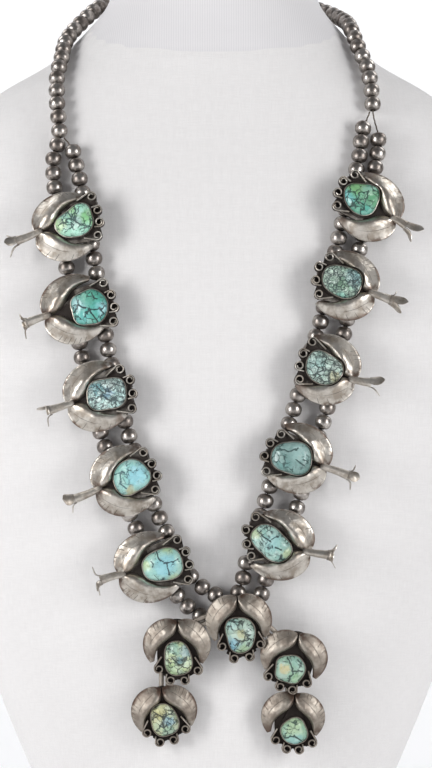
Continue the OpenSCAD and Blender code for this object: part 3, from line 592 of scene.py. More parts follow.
def addStem(heap, length, droop, side, petals, seed):
    # open tube out of the junction, split at its mouth into three spoon petals
    hand = 1 if side == "left" else -1
    split, petalList = petals
    end = length - 1.1 - split
    turnBack = (Matrix.Translation((0, 0, plateThick + stemLook["wide"]))
                @ Matrix.Rotation(math.radians(180 + hand * droop), 4, "Z"))

    def put(points):
        return [tuple(turnBack @ Vector(p)) for p in points]
    sides, rows = stemLook["sides"], stemLook["rows"]
    first = hand * petalList[0][0]
    rings, soot = [], []
    for k in range(rows + 1):
        t = k / rows
        x = -3 + (end + 3) * t
        radius = stemLook["narrow"] + (stemLook["wide"] - stemLook["narrow"]) * t ** 1.3
        bow = 0.35 * math.sin(math.pi * t) * math.sin(seed * 1.7)
        ring = []
        for a in anglesRound(sides):
            fold = radius * (1 - stemLook["groove"] * abs(math.cos(1.5 * (a - math.radians(first)))) ** 4)
            ring.append((x, fold * math.cos(a) + bow, fold * math.sin(a)))
        rings.append(ring)
        # oxide plus painted shade, darker towards the root between the leaves
        soot += [0.8 * max(1 - t * 3.2, 0)] * sides
    for x, radius in ((end, stemLook["wide"] - stemLook["sheet"]),
                      (end - stemLook["mouth"], stemLook["narrow"])):
        rings.append([(x, radius * math.cos(a), radius * math.sin(a)) for a in anglesRound(sides)])
        # painted shade inside the tube's mouth
        soot += [1.0 if x < end else 0.4] * sides
    points, faces = closedTube(rings)
    heap.add(put(points), faces, soot)
    rows, cols = stemLook["petalRows"], stemLook["petalColumns"]
    for clock, bend, long, wide in petalList:
        turn = math.radians(hand * clock)
        x, r = end - 0.8, stemLook["wide"] - stemLook["sheet"] * 0.8
        inner, outside = [], []
        for i in range(rows + 1):
            t = i / rows
            lean = math.radians(bend) * min(t * 1.7, 1) ** 1.3
            if i:
                x += long / rows * math.cos(lean)
                r += long / rows * math.sin(lean)
            width = (wide * (0.7 + 0.3 * math.sin(math.pi * min(t * 1.1, 1)))
                     * (1 - max((t - 0.7) / 0.3, 0) ** 2.4 * 0.88))
            curl = stemLook["wide"] * (1 + stemLook["curl"] * t)
            for j in range(cols + 1):
                bent = (j / cols - 0.5) * width / curl
                y, drop = curl * math.sin(bent), curl * (1 - math.cos(bent))
                for sheet, off in ((inner, -drop), (outside, stemLook["sheet"] - drop)):
                    z = r + off * math.cos(lean)
                    sheet.append((x - off * math.sin(lean), y * math.cos(turn) - z * math.sin(turn),
                                  y * math.sin(turn) + z * math.cos(turn)))
        n, w = len(inner), cols + 1
        faces = [f[::-1] for f in gridFaces(rows, cols)] + gridFaces(rows, cols, n)
        loop = (list(range(w)) + [i * w + cols for i in range(1, rows + 1)]
                + [rows * w + j for j in range(cols - 1, -1, -1)]
                + [i * w for i in range(rows - 1, 0, -1)])
        faces += [(p, q, q + n, p + n) for p, q in zip(loop, loop[1:] + loop[:1])]
        # painted shade on the petals, darker towards the root and on the inner face
        shade = [0.6 * (1 - i / rows) for i in range(rows + 1) for _ in range(w)]
        heap.add(put(inner + outside), faces, [s + 0.25 for s in shade] + shade)


eyeLook = {"around": 28, "section": 10, "square": 0.8, "neck": 0.3}


def addEye(heap, centre, top, crosswise=False):
    # loop behind the plate that the thread runs through
    outerR, innerR, half = eyeSize["outer"] / 2, eyeSize["hole"] / 2, eyeSize["thickness"] / 2
    mid, deep = (outerR + innerR) / 2, (outerR - innerR) / 2
    n, m = eyeLook["around"], eyeLook["section"]
    points = []
    for a in anglesRound(n):
        for b in anglesRound(m):
            r = mid + deep * signedPow(math.cos(b), eyeLook["square"])
            y = half * signedPow(math.sin(b), eyeLook["square"])
            points.append((r * math.cos(a), y, r * math.sin(a)))
    faces = [(i * m + j, i * m + (j + 1) % m, ((i + 1) % n) * m + (j + 1) % m, ((i + 1) % n) * m + j)
             for i in range(n) for j in range(m)]
    neck = eyeSize["outer"] * eyeLook["neck"]
    rise = top - centre[2]
    box = [(x, y, z) for z in (mid, rise)
           for x, y in ((-neck, -half), (neck, -half), (neck, half), (-neck, half))]

    def put(ps):
        if crosswise:
            ps = [(-y, x, z) for x, y, z in ps]
        return np.array(ps) + centre
    # oxide plus painted shade behind the plate
    heap.add(put(points), faces, 0.6)
    if rise > mid:
        sides = [(3, 2, 1, 0), (4, 5, 6, 7), (0, 1, 5, 4), (1, 2, 6, 5), (2, 3, 7, 6), (3, 0, 4, 7)]
        heap.add(put(box), sides, 0.8)


# each scroll's angle and how far out it sits, how far the fan's root reaches beside the stone, the
# darkness of the fan (oxide plus painted shade) and the painted shadow on the teardrop plate
flowerLook = {
    "blossom": ([(46, 1.6), (15, 0.1), (-15, 0.1), (-46, 1.6)], 1.9, 1.5, 1.8),
    "naja": ([(60, 0.6), (18, 0.1), (-18, 0.1), (-60, 0.6)], 3.4, 2.4, 2.4)}


def addFlower(heap, row, share, seed, kind):
    scrolls, fanRoot, fanOxideAndShade, dropPaintedShadow = flowerLook[kind]
    addPlates(heap, row, share, scrolls, fanRoot, fanOxideAndShade, dropPaintedShadow)
    addLeaf(heap, row, share, 1, seed)
    addLeaf(heap, row, share, -1, seed + 3.3)
    addBezel(heap, row, seed)
    for k, (a, off) in enumerate(scrolls):
        addScroll(heap, row, a, off, seed + k)


def paint(r, g, b):  # screen numbers, 0 to 255, as the linear colour that a shader takes
    return tuple(((c / 255 + 0.055) / 1.055) ** 2.4 if c > 10 else c / 255 / 12.92
                 for c in (r, g, b)) + (1,)


class Wire:  # an output socket that does arithmetic
    def __init__(self, tree, socket):
        self.tree, self.socket = tree, socket

    def math(self, operation, *values):
        return self.tree.node("ShaderNodeMath", {"operation": operation}, dict(enumerate(values)))

    def __add__(self, other):
        return self.math("ADD", self, other)

    __radd__ = __add__

    def __sub__(self, other):
        return self.math("SUBTRACT", self, other)

    def __rsub__(self, other):
        return self.math("SUBTRACT", other, self)

    def __mul__(self, other):
        return self.math("MULTIPLY", self, other)

    def __truediv__(self, other):
        return self.math("DIVIDE", self, other)

    def __pow__(self, other):
        return self.math("POWER", self, other)

    def __abs__(self):
        return self.math("ABSOLUTE", self)

    def sin(self):
        return self.math("SINE", self)

    def sign(self):
        return self.math("SIGN", self)

    def fract(self):
        return self.math("FRACT", self)

    def floor(self):
        return self.math("FLOOR", self)

    def most(self, other):
        return self.math("MAXIMUM", self, other)

    def least(self, other):
        return self.math("MINIMUM", self, other)

    def step(self, low, high, a=0.0, b=1.0):  # eases from a to b as the value goes from low to high
        return self.tree.node("ShaderNodeMapRange", {"interpolation_type": "SMOOTHSTEP"},
                              {0: self, 1: low, 2: high, 3: a, 4: b})


class Net:  # a node tree; a value for a socket is a number, a colour, data or a Wire
    def __init__(self, tree):
        self.nodes, self.links = tree.nodes, tree.links

    def plug(self, socket, value):
        if isinstance(value, Wire):
            self.links.new(value.socket, socket)
        else:
            socket.default_value = value

    def node(self, kind, settings=None, values=None, output=0):
        node = self.nodes.new(kind)
        for key, value in (settings or {}).items():
            setattr(node, key, value)
        for key, value in (values or {}).items():
            self.plug(node.inputs[key], value)
        return Wire(self, node.outputs[output])


class Finish(Net):  # a material
    def __init__(self, name):
        self.material = bpy.data.materials.new(name)
        self.material.use_nodes = True
        super().__init__(self.material.node_tree)
        self.shader = self.nodes["Principled BSDF"]

    def coords(self):
        return self.node("ShaderNodeTexCoord", output="Object")

    def value(self, name):
        return self.node("ShaderNodeAttribute", {"attribute_name": name}, output="Fac")

    def vector(self, name):
        return self.node("ShaderNodeAttribute", {"attribute_name": name}, output="Vector")

    def joined(self, x, y, z):
        return self.node("ShaderNodeCombineXYZ", None, {0: x, 1: y, 2: z})

    def parts(self, vector):
        split = self.node("ShaderNodeSeparateXYZ", None, {0: vector})
        return [Wire(self, split.socket.node.outputs[k]) for k in range(3)]

    def noise(self, at, scale, detail=3, roughness=0.5):
        values = {"Vector": at, "Scale": scale, "Detail": detail, "Roughness": roughness}
        return self.node("ShaderNodeTexNoise", None, values, "Fac")

    def mix(self, factor, a, b):
        return self.node("ShaderNodeMix", {"data_type": "RGBA"}, {0: factor, 6: a, 7: b}, 2)

    def bump(self, height, distance, under=None):
        values = {"Height": height, "Distance": distance, "Strength": 1.0}
        if under is not None:
            values["Normal"] = under
        return self.node("ShaderNodeBump", None, values, "Normal")

    def feed(self, **values):
        names = {"colour": "Base Color", "roughness": "Roughness", "metallic": "Metallic",
                 "normal": "Normal", "coat": "Coat Weight", "coatRoughness": "Coat Roughness",
                 "sheen": "Sheen Weight", "specular": "Specular IOR Level"}
        for key, value in values.items():
            self.plug(self.shader.inputs[names[key]], value)
        return self.material


# the near-black colour of each look stands for oxide plus painted shade in the recesses
silverLooks = {
    "beads": {"bright": paint(190, 184, 178), "warm": paint(124, 116, 110), "oxideAndShade": paint(44, 38, 35),
              "roughness": 0.26, "film": (0.34, 0.62), "dents": 0.00022, "scratches": 0.00002},
    "wrought": {"bright": paint(208, 202, 193), "warm": paint(164, 154, 142), "oxideAndShade": paint(46, 39, 35),
                "roughness": 0.3, "film": (0.36, 0.66), "dents": 0.0006, "scratches": 0.00003}}
silverLooks["naja"] = {**silverLooks["wrought"], "bright": paint(166, 158, 148),
                       "warm": paint(140, 130, 120), "roughness": 0.44}
tarnish = paint(98, 74, 62)


def agedSilver(name, look, leaves=False):
    f = Finish(name)
    p = f.coords()
    soot = f.value("soot")
    cloud = f.noise(p, 210, 4, 0.6)
    fine = f.noise(p, 1300, 3, 0.6)
    film = cloud.step(*look["film"])
    # dark mixes in the near-black colour: oxide plus painted shade from each point's darkness, broken up
    # by noise
    dark = (soot + (cloud - 0.5) * 0.5 * (soot * 2).least(1) + (fine - 0.5) * 0.18).step(0.28, 0.92)
    normal = f.bump(f.noise(p, 160, 3, 0.5), look["dents"])
    metal = f.mix(film, look["bright"], look["warm"])
    if leaves:  # stamped nicks along the outer edge, an engraved line and brown patches on each leaf
        t, q, kind = f.parts(f.vector("place"))
        on = q.step(0.001, 0.004)
        slot = t * 15 + kind * 0.37 - q * 2.2
        keep = f.noise(f.joined(slot.floor(), kind, 0.5), 3.1, 0).step(0.5, 0.56)
        nick = abs(slot.fract() - 0.5).step(0.035, 0.085, 1, 0) * q.step(0.24, 0.31, 1, 0) * keep
        bow = (t * math.pi).sin() * 0.08
        line = (abs(q - bow - 0.3 - kind * 0.012).step(0.004, 0.012, 1, 0)
                * t.step(0.16, 0.24) * t.step(0.6, 0.78, 1, 0))
        marks = nick.most(line) * on
        edge = t.step(0.06, 0.26, 1, 0).most(q.step(0.02, 0.18, 0.85, 0)).most(t.step(0.8, 1.0, 0, 0.8))
        stain = f.noise(p, 105, 3, 0.6).step(0.46, 0.56) * edge * on
        metal = f.mix(stain * 0.9, metal, tarnish)
        normal = f.bump(1 - marks, 0.00012, under=normal)
        dark = dark.most(marks * 0.6).most(stain * 0.3)
    normal = f.bump(fine, look["scratches"], under=normal)
    return f.feed(colour=f.mix(dark, metal, look["oxideAndShade"]),
                  roughness=look["roughness"] + film * 0.1 + fine * 0.06 + dark * 0.3,
                  metallic=1 - dark * 0.5, normal=normal)


linenLook = {"thread": paint(236, 234, 233), "gap": paint(196, 193, 193), "slub": paint(206, 203, 202),
             "neck": paint(224, 222, 223), "rib": paint(206, 204, 206), "pitch": 0.52,
             "height": 0.00011, "roughness": 0.92, "sheen": 0.25, "specular": 0.2}


def linen():
    f = Finish("linen")
    p = f.coords()
    u, v, neck = f.parts(f.vector("place"))
    wobble = f.noise(p, 90, 2) - 0.5
    su = ((u + wobble * 0.25) * math.pi).sin()
    sv = ((v + wobble * 0.25) * math.pi).sin()
    side = su.sign() * sv.sign()
    au, av = abs(su), abs(sv)
    warp = au ** 0.6 * (0.5 + side * av * 0.5)
    weft = av ** 0.6 * (0.5 - side * au * 0.5)
    cloth = warp.most(weft)
    slub = f.noise(f.joined(u * 0.08, v * 1.3, 0.0), 1.0, 2)
    slub2 = f.noise(f.joined(u * 1.3, v * 0.08, 4.0), 1.0, 2)
    body = f.mix(cloth.step(0.12, 0.62), linenLook["gap"], linenLook["thread"])
    tint = ((slub + slub2) * 0.5).step(0.38, 0.62)
    body = f.mix((1 - tint) * 0.22, body, linenLook["slub"])
    ribs = ((u * 0.9) * math.pi).sin() * 0.5 + 0.5
    knit = f.mix(ribs * 0.5, linenLook["neck"], linenLook["rib"])
    colour = f.mix(neck.step(0.4, 0.6), body, knit)
    normal = f.bump(cloth + (slub + slub2) * 0.25, linenLook["height"])
    return f.feed(colour=colour, roughness=linenLook["roughness"], normal=normal,
                  sheen=linenLook["sheen"], specular=linenLook["specular"])


def waxedThread():
    f = Finish("waxedThread")
    p = f.coords()
    fuzz = f.noise(p, 2200, 3)
    colour = f.mix(fuzz.step(0.3, 0.7), paint(66, 58, 50), paint(112, 100, 86))
    return f.feed(colour=colour, roughness=0.7, normal=f.bump(fuzz, 0.00008))


# colours of a stone: its body, its second tone and its matrix. Scale is how fine the web is, line
# its breadth and amount how much of the stone it covers. A patch is x, y and radius in shares of
# 9 mm from the stone's middle, then its colour. Cracks are lines in the same shares.
stoneColumns = ("body", "second", "web", "scale", "line", "amount", "patches", "cracks")
stoneLooks = {name: dict(zip(stoneColumns, row)) for name, row in {
    "stone_left_1": ((155, 212, 186), (178, 224, 206), (30, 58, 58), 330, 0.07, 0.5,
        [(0.25, 0.2, 0.4, (196, 226, 218)), (0.62, 0.25, 0.42, (132, 196, 128)),
         (-0.85, -0.2, 0.36, (180, 208, 156)), (-0.2, 0.62, 0.3, (156, 206, 146))],
        [[(-0.1, 0.95), (0.02, 0.5), (-0.08, 0.1), (0.05, -0.05)],
         [(0.0, 0.02), (0.3, -0.2), (0.8, -0.3)],
         [(-0.9, -0.2), (-0.45, 0.0), (-0.05, 0.3)], [(-0.4, 0.5), (-0.2, 0.2)]]),
    "stone_left_2": ((98, 178, 168), (84, 164, 146), (22, 36, 40), 250, 0.05, 0.35,
        [(-0.6, 0.15, 0.42, (160, 206, 208)), (0.7, -0.05, 0.34, (146, 202, 206)),
         (-0.1, 0.65, 0.5, (98, 178, 156)), (-0.3, -0.55, 0.4, (108, 186, 180))],
        [[(-1.0, 0.05), (-0.55, 0.12), (-0.3, -0.05), (0.1, -0.1), (0.45, -0.12), (0.95, 0.08)],
         [(-0.6, 0.4), (-0.55, 0.1), (-0.75, -0.3)], [(0.0, -0.1), (0.2, -0.4), (0.45, -0.75)],
         [(-0.1, -0.35), (0.1, -0.1)], [(0.15, 0.75), (0.22, 0.5), (0.45, 0.42)],
         [(0.6, -0.55), (0.75, -0.3), (0.6, -0.12)]]),
    "stone_left_3": ((200, 232, 226), (218, 238, 234), (20, 36, 42), 430, 0.085, 0.9,
        [(-0.5, 0.3, 0.4, (140, 196, 202)), (0.5, -0.2, 0.5, (192, 226, 222)),
         (0.1, 0.0, 0.25, (120, 170, 200))],
        [[(-0.8, -0.3), (-0.2, -0.1), (0.3, -0.4), (0.8, -0.1)], [(-0.5, 0.4), (-0.2, 0.1), (0.3, 0.3)]]),
    "stone_left_4": ((150, 202, 194), (165, 210, 204), (52, 86, 92), 360, 0.06, 0.32,
        [(0.3, 0.1, 0.55, (150, 208, 220)), (0.05, -0.85, 0.36, (172, 166, 130)),
         (-0.7, 0.2, 0.4, (140, 190, 180))],
        [[(-0.9, 0.1), (-0.5, 0.3), (-0.3, 0.2)], [(-0.5, 0.3), (-0.6, -0.3), (-0.2, -0.6)]]),
    "stone_left_5": ((154, 200, 190), (168, 208, 196), (28, 48, 56), 240, 0.05, 0.3,
        [(-0.9, 0.0, 0.3, (178, 200, 152)), (0.2, 0.85, 0.3, (172, 200, 156)),
         (0.1, 0.0, 0.6, (140, 196, 206)), (0.6, -0.7, 0.3, (178, 200, 160))],
        [[(-0.4, 0.8), (-0.2, 0.3), (0.2, 0.1), (0.3, -0.5)], [(0.2, 0.1), (0.8, 0.3)]]),
    "stone_right_1": ((98, 160, 138), (112, 174, 150), (22, 50, 46), 300, 0.06, 0.4,
        [(-0.3, 0.55, 0.46, (126, 176, 118)), (0.62, -0.05, 0.5, (106, 166, 124)),
         (-0.8, 0.05, 0.36, (120, 190, 190)), (0.2, -0.75, 0.4, (98, 180, 164)),
         (0.0, 0.1, 0.24, (126, 184, 150))],
        [[(-0.75, -0.6), (-0.35, -0.15), (-0.1, 0.3), (0.35, 0.35)],
         [(-0.35, -0.15), (0.1, -0.35), (0.25, 0.1), (0.3, 0.4)], [(0.1, -0.35), (-0.1, -0.8)]]),
    "stone_right_2": ((184, 210, 192), (150, 184, 164), (16, 38, 42), 500, 0.11, 1.0,
        [(-0.75, 0.5, 0.4, (206, 226, 210)), (0.1, -0.1, 0.4, (150, 196, 160)),
         (0.6, 0.2, 0.5, (156, 200, 202)), (-0.1, -0.8, 0.3, (140, 196, 180))],
        []),
    "stone_right_3": ((174, 202, 190), (198, 218, 206), (20, 36, 36), 340, 0.1, 0.9,
        [(0.5, -0.5, 0.34, (178, 170, 124)), (-0.4, 0.2, 0.5, (164, 200, 194))],
        [[(-0.6, -0.5), (-0.1, -0.1), (0.1, 0.6)]]),
    "stone_right_4": ((130, 160, 156), (116, 150, 144), (46, 72, 70), 260, 0.05, 0.35,
        [(0.4, 0.3, 0.5, (150, 182, 178)), (-0.5, -0.3, 0.4, (104, 146, 142))],
        [[(-0.7, 0.5), (-0.2, 0.35), (0.3, 0.5)], [(0.2, -0.1), (0.6, -0.4)]]),
    "stone_right_5": ((146, 186, 176), (164, 200, 190), (24, 40, 44), 330, 0.09, 0.55,
        [(-0.9, 0.55, 0.34, (184, 200, 160)), (0.9, -0.55, 0.34, (182, 198, 158)),
         (0.0, 0.1, 0.5, (146, 190, 190))],
        [[(-0.5, 0.4), (-0.1, 0.15), (0.05, -0.2), (0.5, -0.3)], [(-0.1, 0.15), (0.3, 0.4)]]),
    "naja_stone_1": ((156, 184, 168), (176, 198, 184), (24, 34, 34), 330, 0.08, 0.45,
        [(0.05, 0.0, 0.34, (178, 176, 126)), (-0.35, -0.5, 0.4, (110, 168, 190)),
         (0.1, -0.85, 0.34, (160, 190, 146)), (-0.5, 0.6, 0.36, (156, 194, 188)),
         (0.55, 0.1, 0.34, (186, 208, 198))],
        [[(-0.6, 0.75), (-0.3, 0.65), (0.1, 0.7)], [(-0.3, -0.2), (0.1, -0.35), (0.5, -0.2)]]),
    "naja_stone_2": ((182, 206, 172), (200, 212, 162), (24, 40, 38), 360, 0.07, 0.7,
        [(-0.3, 0.6, 0.4, (136, 178, 162)), (0.45, 0.4, 0.34, (140, 172, 178)),
         (0.1, -0.1, 0.26, (124, 164, 172)), (-0.4, -0.6, 0.4, (160, 190, 140))],
        [[(-0.3, 0.1), (0.0, -0.25), (0.3, -0.4)]]),
    "naja_stone_3": ((204, 208, 168), (188, 204, 172), (24, 36, 36), 340, 0.07, 0.7,
        [(0.2, -0.05, 0.34, (108, 156, 178)), (-0.4, 0.3, 0.4, (190, 186, 132)),
         (0.2, -0.6, 0.36, (152, 184, 158))],
        [[(-0.6, 0.5), (-0.1, 0.2), (0.0, -0.4)], [(-0.1, 0.2), (0.5, 0.5)]]),
    "naja_stone_4": ((156, 186, 168), (140, 178, 156), (34, 52, 48), 300, 0.08, 0.5,
        [(-0.3, 0.05, 0.24, (192, 176, 118)), (0.4, 0.45, 0.4, (146, 184, 170)),
         (0.35, -0.45, 0.36, (144, 184, 138))],
        [[(-0.1, -0.55), (0.15, -0.1), (0.6, -0.05)], [(-0.1, 0.6), (0.05, 0.2), (0.15, -0.1)]]),
    "naja_stone_5": ((160, 190, 158), (142, 184, 168), (34, 60, 54), 320, 0.08, 0.42,
        [(0.0, -0.5, 0.45, (138, 186, 182)), (-0.1, 0.35, 0.5, (172, 196, 160))],
        [[(-0.5, -0.3), (0.0, -0.2), (0.4, -0.5)]])}.items()}


def turquoiseOf(name, look, seed):
    f = Finish("turquoise_" + name)

    def moved(vector, by):
        return f.node("ShaderNodeVectorMath", {"operation": "ADD"}, {0: vector, 1: by})

    def swirl(vector, scale, reach):
        values = {"Vector": vector, "Scale": scale, "Detail": 2.0}
        bend = f.node("ShaderNodeTexNoise", None, values, "Color")
        return f.node("ShaderNodeVectorMath", {"operation": "SCALE"}, {0: bend, "Scale": reach})

    def cells(feature, scale, output, **more):
        values = {"Vector": bent, "Scale": scale, **more}
        return f.node("ShaderNodeTexVoronoi", {"feature": feature}, values, output)

    def edges(scale, breadth):
        return (cells("DISTANCE_TO_EDGE", scale, "Distance") / breadth).step(0.25, 1.3, 1, 0)

    rock = moved(f.coords(), (seed * 0.31, seed * 0.17, seed * 0.23))
    bent = moved(moved(rock, swirl(rock, 260, 0.0034)), swirl(rock, 1100, 0.0009))
    cloud = f.noise(rock, 190, 4, 0.6)
    colour = f.mix(cloud.step(0.4, 0.62), paint(*look["body"]), paint(*look["second"]))
    x, y, groove = f.parts(f.vector("place"))
    ripple = (f.noise(bent, 330, 3, 0.6) - 0.5) * 0.8
    for px, py, radius, tone in look["patches"]:
        away = ((x - px) ** 2 + (y - py) ** 2) ** 0.5 + ripple
        colour = f.mix(away.step(radius * 0.5, radius * 1.35, 0.85, 0), colour, paint(*tone))
    light, deep, _ = f.parts(cells("F1", look["scale"], "Color"))
    colour = f.mix(light.step(0.45, 1.0, 0, 0.45 * look["amount"]), colour, paint(226, 240, 232))
    mottle = f.noise(rock, 900, 4, 0.7).step(0.42, 0.72)
    freckles = mottle * 0.1 + deep.step(0.55, 1.0) * 0.34 * look["amount"]
    colour = f.mix(freckles, colour, paint(*look["web"]))
    breadth = f.noise(rock, 380, 2).step(0.3, 0.7, 0.2, 2.0) * look["line"]
    there = f.noise(rock, 150, 2).step(0.62 - look["amount"] * 0.42, 0.7 - look["amount"] * 0.36)
    sparse = f.noise(rock, 300, 2).step(0.68 - look["amount"] * 0.25, 0.78 - look["amount"] * 0.25)
    coarse = edges(look["scale"], breadth) * there
    web = coarse.most(edges(look["scale"] * 2.1, breadth * 1.2) * sparse * 0.7)
    specks = f.noise(rock, 1500, 1).step(0.68, 0.75) * 0.7
    lines = web.most(f.value("soot").step(0.25, 0.7)).most(specks).most(groove.step(0.45, 1.0) * 0.7)
    colour = f.mix(lines * 0.9, colour, paint(*look["web"]))
    nodules = cells("SMOOTH_F1", look["scale"] * 0.9, "Distance", Smoothness=0.6)
    normal = f.bump(1 - nodules, 0.0005 * look["amount"])
    normal = f.bump(1 - lines, 0.00022, under=normal)
    return f.feed(colour=colour, roughness=0.3 + lines * 0.4, metallic=0.0, normal=normal, coat=0.25,
                  coatRoughness=0.12)


stoneLook = {"around": 120, "levels": 36, "height": 5.2, "foot": 0.12, "lumps": 0.6, "nodule": 0.42,
             "nodulePitch": 0.42, "span": 9}


def segmentDistance(x, y, a, b):
    dx, dy = b[0] - a[0], b[1] - a[1]
    t = min(max(((x - a[0]) * dx + (y - a[1]) * dy) / (dx * dx + dy * dy), 0), 1)
    return math.hypot(x - a[0] - dx * t, y - a[1] - dy * t)


def makeStone(name, row, place, seed):
    # worn lump: round shoulders, a low top, soft nodules, and a few natural cracks
    look = stoneLooks[name]
    n, levels = stoneLook["around"], stoneLook["levels"]
    knobbly = max(look["amount"] - 0.25, 0) * stoneLook["nodule"]
    foot = plateThick + stoneLook["foot"]
    points, deep = [], []
    for i in range(levels):
        t = i / levels
        share = 0.97 if t < 0.12 else math.cos((t - 0.12) / 0.88 * math.pi / 2) ** 0.62
        level = math.sin(min(t * 1.05, 1) * math.pi / 2) ** 1.15
        for k in range(n):
            a = 360 * k / n
            r = stoneReach(row, a) * share
            x, y = r * math.cos(math.radians(a)), r * math.sin(math.radians(a))
            lump = rough3((x, y, level * 2), 0.22, seed) + 0.4 * rough3((x, y, level * 3), 0.6, seed)
            cell = Vector((x, y, level * 2)) * stoneLook["nodulePitch"] + Vector((seed, -seed, 3))
            near = noise.voronoi(cell)[0]
            valley = math.exp(-((near[1] - near[0]) / 0.16) ** 2)
            z = ((stoneLook["height"] - 0.3) * level * (1 + 0.24 * lump * stoneLook["lumps"])
                 - knobbly * valley * level)
            grow = 1 + (0.03 * lump - 0.03 * knobbly * valley) * level
            points.append((row.along + x * grow, row.across + y * grow, foot + z))
            deep.append(valley * min(knobbly * 3.2, 1) * min(level * 2, 1))
    points.append((row.along, row.across, plateThick + stoneLook["height"] - 0.1))
    points.append((row.along, row.across, foot))
    deep += [0, 0]
    centre = place.world([(row.along, row.across, 3)])[0]
    top, low = levels * n, levels * n + 1
    faces = gridFaces(levels - 1, n, 0, True)
    faces += fanFaces(n, (levels - 1) * n, top) + fanFaces(n, 0, low, True)
    seen, crack = [], []
    for p, valley in zip(place.world(points), deep):
        x, y = (p[0] - centre[0]) / stoneLook["span"], (p[2] - centre[2]) / stoneLook["span"]
        seen.append((x, y, valley))
        wobble = 0.09 * noise.noise(Vector((x * 6, y * 6, seed)))
        d = min([segmentDistance(x + wobble, y - wobble, a, b)
                 for line in look["cracks"] for a, b in zip(line, line[1:])] or [math.inf])
        crack.append(math.exp(-(d / (0.035 + 0.4 * abs(wobble))) ** 2))
    heap = Heap()
    heap.add(place.world(points), faces, crack, seen)
    finishPiece(heap.build(name + "_cut", turquoiseOf(name, look, seed), sharp=80), "turquoise", name)


def finishPiece(piece, slot, *nodes):
    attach(piece, "root")
    if nodes:
        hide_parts(*nodes)


bustLook = {"around": 220, "levels": 190, "roll": 3.0, "rollSteps": 5, "seamHeight": 401,
            "seamSlope": 0.42, "seamDepth": 0.45, "seamWidth": 0.9, "neckIn": 0.25}


def makeBust():
    n, levels = bustLook["around"], bustLook["levels"]
    heap = Heap()
    points, place = [], []
    top = bustSize["height"]
    steps = bustLook["rollSteps"]
    rolled = [bustLook["roll"] * (1 - math.cos(math.pi / 2 * k / steps)) for k in range(steps)]
    heights = rolled + list(np.linspace(bustLook["roll"], top - bustLook["roll"], levels - 2 * steps))
    heights += [top - z for z in rolled[::-1]]
    turns = [360 * k / n for k in range(n)]
    for z in heights:
        edge = min(z, top - z)
        tuck = bustLook["roll"] * (1 - math.sqrt(max(1 - (1 - min(edge / bustLook["roll"], 1)) ** 2, 0)))
        ring = [skin(a, z) for a in turns]
        spans = [np.linalg.norm(ring[(k + 1) % n] - ring[k]) for k in range(n)]
        arc = np.concatenate([[0], np.cumsum(spans)])
        for k, p in enumerate(ring):
            out = np.array([p[0], p[1], 0])
            out /= np.linalg.norm(out)
            seam = z - (bustLook["seamHeight"] + bustLook["seamSlope"] * p[1])
            neck = 1 / (1 + math.exp(min(-seam / 0.35, 40)))
            groove = bustLook["seamDepth"] * math.exp(-(seam / bustLook["seamWidth"]) ** 2)
            sag = 0.35 * noise.noise(Vector((p[0] * 0.012, p[1] * 0.012, z * 0.009)))
            d = -tuck - groove - bustLook["neckIn"] * neck + min(sag, 0.1)
            points.append(p + out * d)
            s = arc[k] if arc[k] < arc[-1] / 2 else arc[k] - arc[-1]
            place.append((s / linenLook["pitch"], z / linenLook["pitch"], neck))
    m = len(heights)
    faces = gridFaces(m - 1, n, 0, True)
    base = len(points)
    points += [(0, 0, 0), (0, 0, top)]
    place += [(0, 0, 0), (0, top / linenLook["pitch"], 1)]
    faces += fanFaces(n, 0, base, True) + fanFaces(n, (m - 1) * n, base + 1)
    heap.add(points, faces, 0, place)
    piece = heap.build("bust_linen", linen(), sharp=60)
    finishPiece(piece, "linen", "neck_bust")
    print("bust covered")


beadLook = {"sides": 20, "rows": 11, "smallest": 0.985, "largest": 1.0, "seed": 11}


def beadMesh(material):
    # two cups soldered round the middle, turned in at the holes
    r, half = beadSize["diameter"] / 2, beadSize["length"] / 2
    end, hole = beadSize["endRadius"], beadSize["hole"] / 2
    profile = [(hole, -half + 0.4)]
    for k in range(beadLook["rows"] + 1):
        y = half * math.sin(math.pi / 2 * (k / beadLook["rows"] * 2 - 1))
        wide = min(math.sqrt(max(r * r - y * y, 0)),
                   math.sqrt(max(end ** 2 - (abs(y) + end - half) ** 2, 0)))
        profile.append((max(wide, hole + 0.06), y))
    profile.append((hole, half - 0.4))
    sides = beadLook["sides"]
    # oxide plus painted shade, darker towards the holes
    points, soot = [], []
    for x, y in profile:
        for a in anglesRound(sides):
            points.append((x * math.cos(a), x * math.sin(a), y))
            soot.append(max(1.1 - (x - hole) / 1.5, 0))
    faces = gridFaces(len(profile) - 1, sides, 0, True)
    last = (len(profile) - 1) * sides
    faces += [(last + j, last + (j + 1) % sides, (j + 1) % sides, j) for j in range(sides)]
    heap = Heap()
    heap.add(points, faces, soot)
    return heap.build("bead_cup", material, sharp=70)


class Maker(Net):  # a geometry node group, whose result is made real and given its material
    def __init__(self, name, inputs):
        self.tree = bpy.data.node_groups.new(name, "GeometryNodeTree")
        super().__init__(self.tree)
        add = self.tree.interface.new_socket
        add("Geometry", in_out="INPUT", socket_type="NodeSocketGeometry")
        for key, (kind, value) in inputs.items():
            add(key, in_out="INPUT", socket_type="NodeSocket" + kind).default_value = value
        add("Geometry", in_out="OUTPUT", socket_type="NodeSocketGeometry")
        self.start = self.nodes.new("NodeGroupInput")

    def given(self, name):
        return Wire(self, self.start.outputs[name])

    def end(self, geometry, material):
        real = self.node("GeometryNodeRealizeInstances", None, {"Geometry": geometry})
        dressed = self.node("GeometryNodeSetMaterial", None, {"Geometry": real, "Material": material})
        self.plug(self.nodes.new("NodeGroupOutput").inputs["Geometry"], dressed)
        return self.tree


